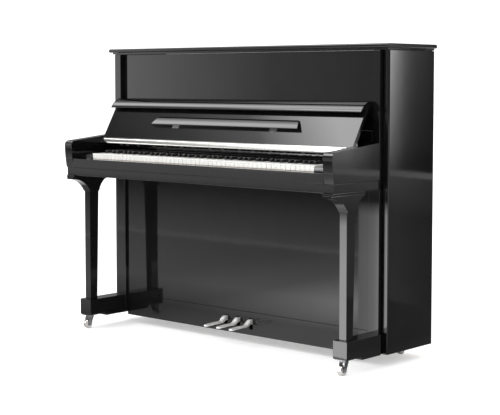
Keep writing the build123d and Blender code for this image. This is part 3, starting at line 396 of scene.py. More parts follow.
SPRUCE_UP = wood("spruce_upright", "z", (0.66, 0.47, 0.27), (0.44, 0.27, 0.13), 160.0, 14.0)
SPRUCE_ACROSS = wood("spruce_across", "x", (0.66, 0.48, 0.28), (0.45, 0.28, 0.14), 160.0, 14.0)
SPRUCE_KEY = wood("spruce_key", "y", (0.70, 0.52, 0.31), (0.50, 0.33, 0.17), 260.0, 22.0)
BEECH_UP = wood("beech_upright", "z", (0.55, 0.36, 0.21), (0.36, 0.21, 0.11), 220.0, 90.0)
BEECH_ACROSS = wood("beech_across", "x", (0.55, 0.36, 0.21), (0.36, 0.21, 0.11), 220.0, 90.0)
print("woods:", SPRUCE_UP.name, SPRUCE_ACROSS.name, SPRUCE_KEY.name, BEECH_UP.name, BEECH_ACROSS.name)

# %% [markdown]
# ## Metals and felt
# Chrome is a bright mirror with faint polishing marks. The casters' plating is darker, and the pedals get
# a satin plating that also scatters light, so that they stay bright beside the dark plinth. The iron plate
# is sand cast and sprayed with bronze powder, so it is grainy and softly metallic. Strings and pins are
# plain and blued steel, and the bass strings are wound with copper. Felt is pressed wool: no gloss, a soft
# sheen and a fluffy surface.


# %% Metal and felt finishes
def metal(name, light, dark, rough, stretch, bump=0.05, size=0.0002, metallic=1.0):
    """Metal whose tone and gloss vary with a noise stretched along its polishing marks."""
    finish, shader = new_finish(name, Metallic=metallic)
    marks = noise(finish, place(finish, stretch), 1.0, 4.0)
    link(finish, ramp(finish, marks, [(0.3, dark), (0.75, light)]), shader, "Base Color")
    link(finish, spread(finish, marks, rough[0], rough[1], 0.3, 0.7), shader, "Roughness")
    bumped(finish, shader, marks, bump, size)
    return finish


def felt(name, light, dark):
    """Pressed wool: fluffy noise in tone and height, with sheen."""
    finish, shader = new_finish(name, Roughness=0.95, Sheen_Weight=0.35, Sheen_Roughness=0.5)
    where = place(finish)
    fluff = noise(finish, where, 1400.0, 4.0, 0.7)
    link(finish, ramp(finish, fluff, [(0.3, dark), (0.7, light)]), shader, "Base Color")
    bumped(finish, shader, fluff, 0.6, 0.0006)
    return finish


CHROME = metal("chrome", (0.80, 0.79, 0.77), (0.70, 0.69, 0.67), (0.07, 0.16), (300, 30, 300))
CASTER_CHROME = metal("caster_chrome", (0.30, 0.30, 0.31), (0.16, 0.16, 0.17), (0.12, 0.22), (300, 300, 300))
PEDAL_CHROME = metal(
    "pedal_chrome", (0.92, 0.90, 0.89), (0.84, 0.82, 0.81), (0.2, 0.3), (300, 30, 300), metallic=0.35
)
STEEL = metal("steel", (0.55, 0.55, 0.56), (0.40, 0.40, 0.41), (0.22, 0.36), (900, 900, 60))
# Blued steel for the tuning pins. On the nickel hinge screws the same dark finish is painted shade for the
# shadow in their slots.
BLUED_AND_SLOT_SHADE = metal("blued_steel_and_slot_shade", (0.22, 0.23, 0.27), (0.13, 0.14, 0.17), (0.22, 0.38), (700, 700, 700))
COPPER = metal("copper_winding", (0.72, 0.38, 0.22), (0.50, 0.24, 0.13), (0.25, 0.4), (400, 400, 2200), 0.5)
BRONZED = metal(
    "bronzed_iron", (0.62, 0.46, 0.20), (0.50, 0.36, 0.15), (0.34, 0.5), (420, 420, 420), 0.5, 0.0008
)
FELT = felt("white_felt", (0.72, 0.70, 0.64), (0.55, 0.53, 0.47))
GREY_FELT = felt("grey_felt", (0.17, 0.17, 0.18), (0.10, 0.10, 0.11))
RED_FELT = felt("red_felt", (0.42, 0.05, 0.06), (0.25, 0.02, 0.03))
print("metals and felts:", CHROME.name, STEEL.name, BLUED_AND_SLOT_SHADE.name, COPPER.name, BRONZED.name, FELT.name)

# %% [markdown]
# ## The case
# The case is a set of boards: two sides, stiles at the front, the panels that close it above and below the
# keyboard, and the key bed with its two arms. They are separate boards on the real piano and stay so here.

# %% Case boards
CASE_BOARDS = {
    "side_panel_left": 1.2, "side_panel_right": 1.2, "front_stiles": 1.5, "arm_left": 2.0, "arm_right": 2.0,
    "key_bed": 2.0, "key_slip": 1.5, "key_blocks": 1.5, "upper_panel": 1.0, "lower_panel": 1.2,
    "plinth": 1.2, "bottom_board": 1.0, "fallboard_rail": 1.0, "name_strip": 0.8, "lid_rear": 1.2,
}
for node, edge in CASE_BOARDS.items():
    softened(node, BLACK, "case", edge * MM)
softened("lid_front", BLACK, "lid", 1.2 * MM)
softened("lid_hinge_rear_leaf", CHROME, "case", 0.2 * MM)
softened("lid_hinge_front_leaf", CHROME, "lid", 0.2 * MM)

# %% [markdown]
# ## The front legs
# Each leg is a slender shaft, deeper at its top than at its foot, that widens upwards into a coved corbel
# under the key bed, and stands on a toe block that runs back to the case. The corbel's coves are single
# curves, so its side view is drawn once and carried across the leg's width, with soft rims.

# %% Legs and toe blocks
leg_low, leg_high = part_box("front_legs")
toe_low, toe_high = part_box("toe_blocks")
bed_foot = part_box("key_bed")[0][2]
LEG_THICK = 34 * MM
LEG_EDGE = 1.4 * MM
LEG_FOOT_DEPTH = 40 * MM
LEG_TOP_DEPTH = 52 * MM
LEG_SET_BACK = 95 * MM
PLATE_THICK = 10 * MM
PLATE_OVER = 7 * MM
CORBEL_OVER = 5 * MM
CORBEL_HEIGHT = 65 * MM
CORBEL_LEDGE = 8 * MM
HEEL_REACH = 51 * MM
TOE_WIDTH = 66.6 * MM
TOE_FOOT = 61 * MM
TOE_DEEP_PART = 117 * MM
TOE_EDGE = 2 * MM


def leg():
    """The right leg's shaft, corbel and cap plate, from its side view in Y and Z."""
    outer = leg_high[0] - PLATE_OVER
    inner = outer - LEG_THICK
    top = bed_foot - PLATE_THICK
    neck = top - CORBEL_HEIGHT
    ledge = top - CORBEL_LEDGE
    front = leg_low[1] + LEG_SET_BACK
    rear = front + LEG_TOP_DEPTH
    foot = toe_high[2] - 0.5 * MM
    shaft_top = neck + 4 * MM
    shaft = [(front, foot), (front + LEG_FOOT_DEPTH, foot), (rear, shaft_top), (front, shaft_top)]
    cove = bend((front, neck), (front - 40 * MM, neck + 42 * MM), (leg_low[1], ledge), 17)
    heel = bend((rear + HEEL_REACH, ledge), (rear + 19 * MM, neck + 38 * MM), (rear, neck), 17)
    crown = [(leg_low[1], top), (rear + HEEL_REACH, top)]
    corbel = np.concatenate([cove, crown, heel])[::-1]
    plate = rectangle(leg_low[1], leg_high[1], top, bed_foot)
    return joined([
        slab(shaft, inner, outer, LEG_EDGE, axis="x"),
        slab(corbel, inner - CORBEL_OVER, outer + CORBEL_OVER, LEG_EDGE, corner=0, axis="x"),
        slab(plate, inner - PLATE_OVER, outer + PLATE_OVER, LEG_EDGE, axis="x"),
    ])


def toe_block():
    """The right toe block: a beam in side view, deeper behind its step."""
    step = toe_high[1] - TOE_DEEP_PART
    side = [
        (toe_low[1], TOE_FOOT), (step, TOE_FOOT), (step, toe_low[2]), (toe_high[1], toe_low[2]),
        (toe_high[1], toe_high[2]), (toe_low[1], toe_high[2]),
    ]
    return slab(side, toe_high[0] - TOE_WIDTH, toe_high[0], TOE_EDGE, axis="x")


put("legs_turned_out", joined([leg(), mirrored(leg())]), BLACK, "case", ["front_legs"])
put(
    "toe_blocks_polished", joined([toe_block(), mirrored(toe_block())]), BLACK, "case",
    ["toe_blocks"],
)

# %% [markdown]
# ## The fallboard, its lip and the music shelf
# Places on the open fallboard are given along it from its pivot and out from its face. The lip is a
# crowned strip that the eye reads by one bright line near its lower edge, so its top is a true curve. The
# music shelf is a wedge whose face rolls back towards its top, which gives it a graded reflection.

# %% Places on the fallboard
PIVOT = (-98 * MM, 836 * MM)
LEAN = radians(30.2)
FACE_OUT = 23.3 * MM
BOARD_TOP = 174.5 * MM
DROOP = radians(34)
SHELF_FOOT = 53.5 * MM
SHELF_HEIGHT = 43.5 * MM
SHELF_THICK = 17.5 * MM
SHELF_TOP_HALF = 388 * MM


def on_board(along, out):
    """Y and Z of places on the open board."""
    along, out = np.broadcast_arrays(along, out)
    y = PIVOT[0] + along * sin(LEAN) - (out + FACE_OUT) * cos(LEAN)
    z = PIVOT[1] + along * cos(LEAN) + (out + FACE_OUT) * sin(LEAN)
    return np.stack([y, z], axis=-1)


def on_lip(along, out):
    """Y and Z of places on the folded lip, along it from its hinge and out from it."""
    hinge = on_board(BOARD_TOP, 0.0)
    along, out = np.broadcast_arrays(along, out)
    y = hinge[0] - along * cos(DROOP) - out * sin(DROOP)
    z = hinge[1] - along * sin(DROOP) + out * cos(DROOP)
    return np.stack([y, z], axis=-1)


fall_low, fall_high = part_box("fallboard")
softened("fallboard", BLACK, "fallboard", 1.5 * MM)
print("the board's top edge in Y and Z:", on_board(BOARD_TOP, 0.0).round(4))


# %% Lip
def lip():
    """The lip's section: a parabola over the crown, a half round tip and a straight underside."""
    along = np.linspace(-12, 49, 26) * MM
    crown = np.polyfit(np.array([-12, 20, 49]) * MM, np.array([4.0, 8.9, 1.9]) * MM, 2)
    top = on_lip(along, np.polyval(crown, along))
    turn = np.linspace(0.35 * pi, -0.5 * pi, 6)[1:]
    tip = on_lip((48.6 + 2.3 * np.cos(turn)) * MM, (-0.6 + 2.3 * np.sin(turn)) * MM)
    under = on_lip(np.array([17.0, 0.0, -12.0]) * MM, np.array([-5.8, 1.1, 1.1]) * MM)
    section = np.concatenate([top, tip, under])
    return slab(section[::-1], fall_low[0], fall_high[0], 1.6 * MM, corner=0, axis="x", steps=4)


put("lip_crowned", lip(), BLACK, "lip", ["fallboard_lip"], crease=50)


# %% Music shelf
def music_shelf():
    """Sections square to the board: half width shrinks evenly, and thickness falls with the height and its
    square, so that the face rolls back more and more towards its top."""
    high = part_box("music_shelf")[1]
    levels, insets = rim(SHELF_FOOT, SHELF_FOOT + SHELF_HEIGHT, 1.5 * MM, 4)
    levels = np.concatenate([levels[:4], np.linspace(levels[3], levels[-4], 14)[1:-1], levels[-4:]])
    insets = np.concatenate([insets[:4], np.zeros(12), insets[-4:]])
    loops = []
    for along, inset in zip(levels, insets):
        share = (along - SHELF_FOOT) / SHELF_HEIGHT
        half = high[0] - (high[0] - SHELF_TOP_HALF) * share
        thick = SHELF_THICK - SHELF_HEIGHT * (0.15 * share + 0.15 * share ** 2)
        outline = round_corners(set_edge(np.array(rectangle(-half, half, 0.5 * MM, thick)), inset), 1.2 * MM)
        where = on_board(np.full(len(outline), along), outline[:, 1])
        loops.append(np.stack([outline[:, 0], where[:, 0], where[:, 1]], axis=1))
    return closed_stack(np.array(loops))


put("music_shelf_rolled", music_shelf(), BLACK, "shelf", ["music_shelf"])

# %% [markdown]
# ## Hardware of the fallboard
# A long plated hinge strip closes the board's foot. Its plates are pressed to a slight crown and screwed
# down, short knuckles run along its lower edge, and two small leaves carry the music shelf. The screw
# heads are nickel, but they get a dark finish as painted shade for the shadow in their slots. The lugs
# behind the board hold the pins that it turns on.


# %% Hinge strip, leaves and lugs
PLATE_PITCH = 82 * MM
KNUCKLE_PITCH = 12 * MM
SCREWS = 34
LEAF_X = 0.27
LEAF_HALF = 19 * MM
LUG_WIDTH = 24 * MM
PIN_RADIUS = 4 * MM
PIN_REACH = 14 * MM


def hinge_strip():
    """Plates along the board's foot, each with the crown 4h s(1 - s) across it, beside a row of knuckles."""
    half = fall_high[0] - 1 * MM
    gap = 0.3 * MM
    across = np.linspace(0, 1, 9)
    crown = 0.6 * MM + 1.1 * MM * 4 * across * (1 - across)
    top = on_board((-36 + 21 * across) * MM, crown)
    back = on_board(np.array([-15.0, -36.0]) * MM, 0.0)
    section = np.concatenate([top, back])
    edges = np.linspace(-half, half, round(2 * half / PLATE_PITCH) + 1)
    plates = [slab(section, x0 + gap, x1 - gap, 0.25 * MM, 0, "x", 2) for x0, x1 in zip(edges, edges[1:])]
    turn = np.linspace(0, 2 * pi, 11)[:-1]
    barrel = on_board(-12.4 * MM + 2.3 * MM * np.cos(turn), 0.4 * MM + 2.3 * MM * np.sin(turn))
    edges = np.linspace(-half, half, round(2 * half / KNUCKLE_PITCH) + 1)
    knuckles = [slab(barrel, x0 + gap, x1 - gap, 0.3 * MM, 0, "x", 2) for x0, x1 in zip(edges, edges[1:])]
    return joined(plates + knuckles)


def hinge_screws():
    """Small round heads in a row along the strip: circles of shrinking radius, ever further out of it."""
    turn = np.linspace(0, 2 * pi, 9)[:-1]
    span = fall_high[0] - 20 * MM
    heads = []
    for x in np.linspace(-span, span, SCREWS):
        loops = [
            np.concatenate([
                (x + radius * MM * np.cos(turn))[:, None],
                on_board(-29 * MM + radius * MM * np.sin(turn), height * MM),
            ], axis=1)
            for radius, height in ((2.2, 0.6), (2.2, 1.6), (1.7, 1.9))
        ]
        heads.append(closed_stack(np.array(loops)))
    return joined(heads)


def shelf_leaves():
    """The two leaves let into the board below the shelf."""
    section = on_board(np.array([46.5, 53.0, 53.0, 46.5]) * MM, np.array([-0.3, -0.3, 0.35, 0.35]) * MM)
    leaves = [slab(section, x - LEAF_HALF, x + LEAF_HALF, 0.12 * MM, 0, "x") for x in (-LEAF_X, LEAF_X)]
    return joined(leaves)


def pivot_lug():
    """The right end's lug behind the board, with its round pin."""
    section = on_board(np.array([-14, 14, 8, -8]) * MM, np.array([-16, -16, -31.3, -31.3]) * MM)
    inner = fall_high[0] - LUG_WIDTH
    lug = slab(section[::-1], inner, fall_high[0], 1 * MM, axis="x")
    turn = np.linspace(0, 2 * pi, 17)[:-1]
    round_pin = np.array(PIVOT) + PIN_RADIUS * np.stack([np.cos(turn), np.sin(turn)], axis=1)
    return joined([lug, slab(round_pin, inner, fall_high[0] + PIN_REACH, 0.5 * MM, 0, "x")])


put(
    "fallboard_nickel", joined([hinge_strip(), shelf_leaves(), pivot_lug(), mirrored(pivot_lug())]),
    CHROME, "fallboard", ["fallboard_hardware"],
)
# The hinge screws' dark finish is painted shade: the heads are nickel, and the dark is the shadow in their
# slots.
put("hinge_screws", hinge_screws(), BLUED_AND_SLOT_SHADE, "fallboard", ["fallboard_hardware"])

# %% [markdown]
# ## The keyboard
# Eighty-eight keys, each a plastic cover on a spruce stick. The naturals' covers have rounded edges and a
# front lip; the sharps are tapered blocks with a rounded crest and a sloping front. The frame groups the
# keys by pitch, so each pitch gets its covers and its sticks as two pieces.

# %% Places of the keys
PITCH = 23.558 * MM
SLOT = 13.7 * MM
NATURALS = [0, 2, 4, 5, 7, 9, 11]
LETTERS = {0: "c", 1: "c", 2: "d", 3: "d", 4: "e", 5: "f", 6: "f", 7: "g", 8: "g", 9: "a", 10: "a", 11: "b"}
KEY_FRONT, KEY_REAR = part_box("white_key_c")[0][1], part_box("white_key_c")[1][1]
COVER_BACK = KEY_FRONT + 150 * MM
SHARP_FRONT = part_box("sharp_key_c")[0][1]
STICK_FOOT, KEY_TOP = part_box("white_key_c")[0][2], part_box("white_key_c")[1][2]
SHARP_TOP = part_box("sharp_key_c")[1][2]
COVER_FOOT = KEY_TOP - 6 * MM
SIDE_GAP = 0.5 * MM


def key_places():
    """(pitch, head's left edge, slot's left, slot's right) for each of the 88 keys, from A to C. Within an
    octave, five slots of one width are shared out among the naturals' tails."""
    widths = [SLOT if n not in NATURALS else PITCH - (2 / 3 if n < 5 else 3 / 4) * SLOT for n in range(12)]
    lefts = np.concatenate([[0], np.cumsum(widths)])
    start = -26 * PITCH - NATURALS.index(9) * PITCH
    places = []
    for number in range(9, 97):
        base = start + number // 12 * 7 * PITCH
        pitch = number % 12
        head = base + NATURALS.index(pitch) * PITCH if pitch in NATURALS else None
        left, right = base + lefts[pitch], base + lefts[pitch + 1]
        left = head if number == 9 else left
        right = head + PITCH if number == 96 else right
        places.append((pitch, head, left, right))
    return places


KEYS = key_places()
NOTE_X = np.array([(left + right) / 2 for _, _, left, right in KEYS])
print(len(KEYS), "keys over", round(NOTE_X[-1] - NOTE_X[0], 3), "m")


# %% Naturals
def natural_cover(head, left, right):
    """A cover in plan, wide at its head and narrow between the sharps, over a thin front lip."""
    x0, x1 = head + SIDE_GAP, head + PITCH - SIDE_GAP
    t0, t1 = max(left + SIDE_GAP, x0), min(right - SIDE_GAP, x1)
    shoulder = SHARP_FRONT - 1.5 * MM
    plan = [(x0, KEY_FRONT), (x1, KEY_FRONT), (x1, shoulder), (t1, shoulder), (t1, COVER_BACK)]
    plan += [(t0, COVER_BACK), (t0, shoulder), (x0, shoulder)]
    plan = [point for k, point in enumerate(plan) if point != plan[k - 1]]
    cover = slab(plan, COVER_FOOT, KEY_TOP, 0.9 * MM, 1.1 * MM)
    lip_plan = rectangle(x0 + 0.3 * MM, x1 - 0.3 * MM, KEY_FRONT + 0.9 * MM, KEY_FRONT + 3 * MM)
    return [cover, slab(lip_plan, KEY_TOP - 22 * MM, COVER_FOOT + 1 * MM, 0.4 * MM)]


def key_stick(head, left, right):
    """The stick under a cover: as wide as the head in front, then one slot wide to its tail."""
    middle, half = (left + right) / 2, 5.9 * MM
    front = SHARP_FRONT if head is None else SHARP_FRONT - 1.5 * MM
    narrow = rectangle(middle - half, middle + half, front, KEY_REAR)
    sticks = [slab(narrow, STICK_FOOT, COVER_FOOT, 0.5 * MM)]
    if head is not None:
        wide = rectangle(head + 1 * MM, head + PITCH - 1 * MM, KEY_FRONT + 3 * MM, front + 0.5 * MM)
        sticks.append(slab(wide, STICK_FOOT, COVER_FOOT, 0.5 * MM))
    return sticks


def sharp_block(left, right):
    """A block that narrows from foot to crest while its front slopes back, with a rounded crest."""
    middle = (left + right) / 2
    heights, insets = rim(COVER_FOOT, SHARP_TOP, 1.7 * MM, 5)
    loops = []
    for height, inset in zip(heights[4:], np.where(heights[4:] > KEY_TOP, insets[4:], 0)):
        share = (height - COVER_FOOT) / (SHARP_TOP - COVER_FOOT)
        half = (5.7 - 1.1 * share) * MM
        front = SHARP_FRONT + 4 * MM * share
        outline = np.array(rectangle(middle - half, middle + half, front, COVER_BACK - 2 * MM))
        loops.append(lifted(round_corners(set_edge(outline, inset), 1.4 * MM - inset * 0.6, 4), height, "z"))
    return closed_stack(np.array(loops))


for pitch, letter in LETTERS.items():
    group = [(head, left, right) for number, head, left, right in KEYS if number == pitch]
    sticks = joined([part for place_of in group for part in key_stick(*place_of)])
    if pitch in NATURALS:
        node, body = f"white_key_{letter}", f"naturals_{letter}"
        covers = joined([part for place_of in group for part in natural_cover(*place_of)])
        put(f"covers_{letter}", covers, WHITE_PLASTIC, body, [node])
    else:
        node, body = f"sharp_key_{letter}", f"sharps_{letter}"
        blocks = joined([sharp_block(left, right) for _, left, right in group])
        put(f"sharps_{letter}", blocks, BLACK_RESIN, body, [node])
    put(f"sticks_of_{node}", sticks, SPRUCE_KEY, body, [node])

# %% [markdown]
# ## Pedals
# Each pedal is one bent casting: a broad round-nosed tongue that sweeps up into a narrow neck and passes
# through its slot. Sections are superellipses, which are rounder than a box and squarer than an ellipse,
# carried along the pedal while their width and height change.


# %% Pedals
def pedal(name):
    """Superellipse sections at distance d behind the tip. Half width is a round nose, then an easing from
    11 to 5.5 mm just before the plinth. Top and underside are nearly level along the tongue, rise to the
    neck and sink again behind the plinth, each as smooth steps."""
    low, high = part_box(name)
    middle = (low[0] + high[0]) / 2
    length = high[1] - low[1]
    nose_length = 12 * MM
    round_end = nose_length * (1 - np.cos(np.linspace(0.12, pi / 2, 7)))
    d = np.concatenate([round_end, np.linspace(16 * MM, length, 61)])
    nose_share = np.sqrt(np.clip(1 - (1 - d / nose_length).clip(0, 1) ** 2, 0, 1))
    half = (11 - 5.5 * smooth(d, 117 * MM, 124 * MM)) * MM * nose_share
    top = (83.2 + 1.8 * smooth(d, 0, 70 * MM) + 20 * smooth(d, 90 * MM, 121 * MM)) * MM
    top = top - 13 * MM * smooth(d, 150 * MM, 185 * MM)
    foot = (73.6 + 2.4 * smooth(d, 0, 60 * MM) + 8 * smooth(d, 98 * MM, 128 * MM)) * MM
    foot = foot - 5 * MM * smooth(d, 150 * MM, 185 * MM)
    depth = (top - foot) / 2 * (0.45 + 0.55 * nose_share)
    turn = np.linspace(0, 2 * pi, 25)[:-1]
    power = 2 / 3.2
    u = np.sign(np.cos(turn)) * np.abs(np.cos(turn)) ** power
    v = np.sign(np.sin(turn)) * np.abs(np.sin(turn)) ** power
    x = middle + half[:, None] * u
    y = (low[1] + d)[:, None] + 0 * u
    z = ((top + foot) / 2)[:, None] + depth[:, None] * v
    return closed_stack(np.stack([x, y, z], axis=-1))


for side in ("left", "middle", "right"):
    node = f"pedal_{side}"
    put(f"{node}_cast", pedal(node), PEDAL_CHROME, node, [node])

# %% [markdown]
# ## Casters
# Each leg rolls on a small swivelling caster: a plated fork around a wheel with two treads. The wheels are
# surfaces of revolution; the forks and plates are softened copies of the frame's.

# %% Wheels, forks and plates
TREAD = [(-10, 5), (-10, 15), (-9.3, 18.6), (-7.5, 20), (-2, 20), (-1, 18.2), (1, 18.2), (2, 20), (7.5, 20)]
TREAD += [(9.3, 18.6), (10, 15), (10, 5)]
ROLLER_X = 0.64
ROLLER_RADIUS = 20 * MM


def wheel(x, y, z):
    """Circles about the axle: each stop of the tread is (place along the axle, radius) in millimetres."""
    along, radius = np.array(TREAD).T * MM
    turn = np.linspace(0, 2 * pi, 33)[:-1]
    px = x + along[:, None] + 0 * turn
    py = y + radius[:, None] * np.cos(turn)
    pz = z + radius[:, None] * np.sin(turn)
    return closed_stack(np.stack([px, py, pz], axis=-1))


def middle_of(node):
    """The middle of a node's box."""
    low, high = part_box(node)
    return [(a + b) / 2 for a, b in zip(low, high)]


for side in ("left", "right"):
    put(f"wheel_{side}", wheel(*middle_of(f"caster_wheel_{side}")), CHROME, f"wheel_{side}",
        [f"caster_wheel_{side}"])
    softened(f"caster_fork_{side}", CASTER_CHROME, f"fork_{side}", 0.6 * MM, 2)
softened("caster_plates", CASTER_CHROME, "case", 0.4 * MM, 2)
roller_low, roller_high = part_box("rear_rollers")
roller_y = (roller_low[1] + roller_high[1]) / 2
rollers = [wheel(x, roller_y, ROLLER_RADIUS) for x in (-ROLLER_X, ROLLER_X)]
put("rear_rollers_turned", joined(rollers), STEEL, "rollers", ["rear_rollers"])

# %% [markdown]
# ## Inside the case
# With the lid folded back the player looks down on the action: hammers with felt heads, dampers, the
# bronzed iron plate and its tuning pins. From behind, the posts, the soundboard and its ribs show.

# %% Frame parts that keep their shape
KEPT = {
    "soundboard": SPRUCE_UP, "iron_plate": BRONZED, "bridges": BEECH_UP, "key_frame": SPRUCE_ACROSS,
    "trapwork": BEECH_ACROSS,
}
for node, finish in KEPT.items():
    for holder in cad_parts[node].material_slots:
        holder.material = finish
SOFT_INSIDE = {
    "back_frame": (SPRUCE_UP, "case", "spruce", 2.0), "pin_block": (BEECH_ACROSS, "case", "beech", 0.8),
    "action_frame": (BEECH_ACROSS, "case", "beech", 0.8), "muffler_rail": (FELT, "muffler", "felt", 1.0),
    "hammer_rest_rail": (RED_FELT, "hammer_row", "felt", 3.0), "wippens": (BEECH_UP, "case", "beech", 0.4),
}
for node, (finish, body, slot, edge) in SOFT_INSIDE.items():
    softened(node, finish, body, edge * MM, 2)


# %% Hammers
HAMMER_Y, HAMMER_Z, STRIKE_Z = 112 * MM, 880 * MM, 1010 * MM
HAMMER_HALF = 4 * MM
DAMPER_Y, DAMPER_Z, DAMPER_FACE = 138 * MM, 820 * MM, 172.5 * MM
DAMPED_NOTES = 68
BASS_NOTES = 26
STRING_TOP = 1062 * MM
STRING_FOOT = 170 * MM
PIN_TOP = 1135 * MM
PIN_ROW = 22 * MM


def row(section, notes, half, edge, corner=0):
    """One slab of a Y and Z section for each note."""
    return joined([slab(section, x - half, x + half, edge, corner, "x", 2) for x in notes])


def hammer_wood():
    """Butt, shank and the moulding that the felt wraps."""
    y, z = HAMMER_Y, HAMMER_Z
    butt = [(y - 8 * MM, z - 12 * MM), (y + 8 * MM, z - 12 * MM), (y + 8 * MM, z + 12 * MM)]
    butt += [(y + 3 * MM, z + 20 * MM), (y - 3 * MM, z + 20 * MM), (y - 8 * MM, z + 12 * MM)]
    shank = rectangle(y - 2.5 * MM, y + 2.5 * MM, z + 19 * MM, STRIKE_Z)
    moulding = [(y - 12 * MM, STRIKE_Z - 5 * MM), (y + 6 * MM, STRIKE_Z - 9 * MM)]
    moulding += [(y + 6 * MM, STRIKE_Z + 9 * MM), (y - 12 * MM, STRIKE_Z + 5 * MM)]
    return joined([
        row(butt, NOTE_X, HAMMER_HALF, 0.6 * MM), row(shank, NOTE_X, 2.5 * MM, 1 * MM),
        row(moulding, NOTE_X, HAMMER_HALF * 0.9, 0.5 * MM),
    ])


def hammer_felt():
    """A pear in side view: it reaches 24 mm times cos(a)^0.9 towards the string and 12 mm times sin(a) up
    and down."""
    turn = np.linspace(-pi / 2, pi / 2, 13)
    nose_y = HAMMER_Y + (-3 + 24 * np.cos(turn) ** 0.9) * MM
    pear = np.stack([nose_y, STRIKE_Z + 12 * MM * np.sin(turn)], axis=1)
    return row(pear, NOTE_X, HAMMER_HALF, 0.8 * MM)


put("hammer_shanks", hammer_wood(), BEECH_UP, "hammer_row", ["hammers"])
put("hammer_heads", hammer_felt(), FELT, "hammer_row", ["hammers"], crease=60)


# %% Dampers
def damper_levers():
    """A bent lever, from the damper's pivot up to its head."""
    y, z, face = DAMPER_Y, DAMPER_Z, DAMPER_FACE
    lever = [(y - 5 * MM, z - 6 * MM), (y + 5 * MM, z - 6 * MM), (y + 12 * MM, z + 50 * MM)]
    lever += [(face - 8 * MM, z + 62 * MM), (face - 12 * MM, z + 66 * MM), (y + 4 * MM, z + 52 * MM)]
    return row(lever, NOTE_X[:DAMPED_NOTES], 3 * MM, 0.5 * MM)


def damper_heads():
    """A soft-edged felt block against the strings."""
    face = DAMPER_FACE
    head = rectangle(face - 12 * MM, face, DAMPER_Z + 58 * MM, DAMPER_Z + 110 * MM)
    return row(head, NOTE_X[:DAMPED_NOTES], HAMMER_HALF, 1.2 * MM)


put("damper_levers", damper_levers(), BEECH_UP, "damper_row", ["dampers"])
put("damper_heads", damper_heads(), GREY_FELT, "damper_row", ["dampers"])


# %% Strings
def tubes(starts, ends, radius, sides=6):
    """Round wires from starts to ends: circles about each wire's own direction, closed at both ends."""
    starts, ends = np.asarray(starts), np.asarray(ends)
    way = ends - starts
    way = way / np.linalg.norm(way, axis=1, keepdims=True)
    depth = np.broadcast_to([0.0, 1.0, 0.0], way.shape)
    across = np.cross(way, depth)
    across = across / np.linalg.norm(across, axis=1, keepdims=True)
    turn = np.linspace(0, 2 * pi, sides, endpoint=False)
    ring = np.cos(turn)[None, :, None] * across[:, None] + np.sin(turn)[None, :, None] * depth[:, None]
    radius = np.broadcast_to(radius, len(starts))[:, None, None]
    loops = np.stack([starts[:, None] + ring * radius, ends[:, None] + ring * radius], axis=1)
    return joined([closed_stack(pair) for pair in loops])


def string_ends():
    """Tops under the pins, and feet: the bass fans right across, the rest lean left and shorten upwards."""
    note = np.arange(len(NOTE_X))
    bass = note < BASS_NOTES
    share = (note - BASS_NOTES).clip(0) / (len(NOTE_X) - BASS_NOTES)
    reach = (STRING_TOP - STRING_FOOT) * (1 - share) ** 0.8 + 90 * MM * share
    foot_x = np.where(bass, NOTE_X + 560 * MM, NOTE_X - 90 * MM * (1 - share))
    foot_z = np.where(bass, STRING_FOOT + 3 * MM * (BASS_NOTES - note), STRING_TOP - reach)
    y = np.where(bass, 174.5, 180.5) * MM
    starts = np.stack([NOTE_X, y, np.full(len(NOTE_X), STRING_TOP)], axis=1)
    return starts, np.stack([foot_x, y, foot_z], axis=1), bass


starts, ends, bass = string_ends()
put("bass_strings", tubes(starts[bass], ends[bass], 1.1 * MM), COPPER, "case", ["strings"])
pair_shifts = ([-2.2 * MM, 0, 0], [2.2 * MM, 0, 0])
fans = [tubes(starts[~bass] + shift, ends[~bass] + shift, 0.5 * MM) for shift in pair_shifts]
put("treble_strings", joined(fans), STEEL, "case", ["strings"])


# %% Tuning pins
def tuning_pin(x, z):
    """A round pin whose head turns square and tapers: sections are superellipses of falling power."""
    low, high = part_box("tuning_pins")
    share = np.array([0.0, 0.55, 0.62, 0.95, 1.0])
    radius = np.array([3.5, 3.5, 3.3, 2.7, 2.2]) * MM
    power = np.array([1.0, 1.0, 0.7, 0.45, 0.45])
    turn = np.linspace(0, 2 * pi, 13)[:-1] + pi / 4
    u = np.sign(np.cos(turn)) * np.abs(np.cos(turn)) ** power[:, None]
    v = np.sign(np.sin(turn)) * np.abs(np.sin(turn)) ** power[:, None]
    y = high[1] + (low[1] - high[1]) * share
    px = x + radius[:, None] * u
    py = y[:, None] + 0 * u
    return closed_stack(np.stack([px, py, z + radius[:, None] * v], axis=-1))


pins = joined([tuning_pin(x, PIN_TOP - PIN_ROW * (note % 3)) for note, x in enumerate(NOTE_X)])
put("tuning_pins_squared", pins, BLUED_AND_SLOT_SHADE, "case", ["tuning_pins"])

# %% [markdown]
# ## Floor and light
# Black gloss is lit by what it mirrors. A white surround gives the clean ground and the soft shadow; the
# piano's faces mirror a darker room with large glowing screens, placed where each face looks. The screens
# are set so that only mirror rays meet them.

# %% Floor
floor_mesh = bpy.data.meshes.new("floor")
floor_mesh.from_pydata([(-30, -30, 0), (30, -30, 0), (30, 30, 0), (-30, 30, 0)], [], [(0, 1, 2, 3)])
floor = bpy.data.objects.new("floor", floor_mesh)
bpy.context.scene.collection.objects.link(floor)
pale, pale_shader = new_finish("pale_floor", Roughness=0.7)
floor_tone = ramp(pale, noise(pale, place(pale), 3.0), [(0.3, (0.86, 0.86, 0.86)), (0.7, (0.88, 0.88, 0.88))])
link(pale, floor_tone, pale_shader, "Base Color")
pale_shader.inputs["Specular IOR Level"].default_value = 0.1
seen = add_node(pale, "ShaderNodeLightPath").outputs["Is Camera Ray"]
pale_shader.inputs["Emission Color"].default_value = (1, 1, 1, 1)
link(pale, spread(pale, seen, 0.0, 0.42), pale_shader, "Emission Strength")
floor_mesh.materials.append(pale)
print("floor laid")

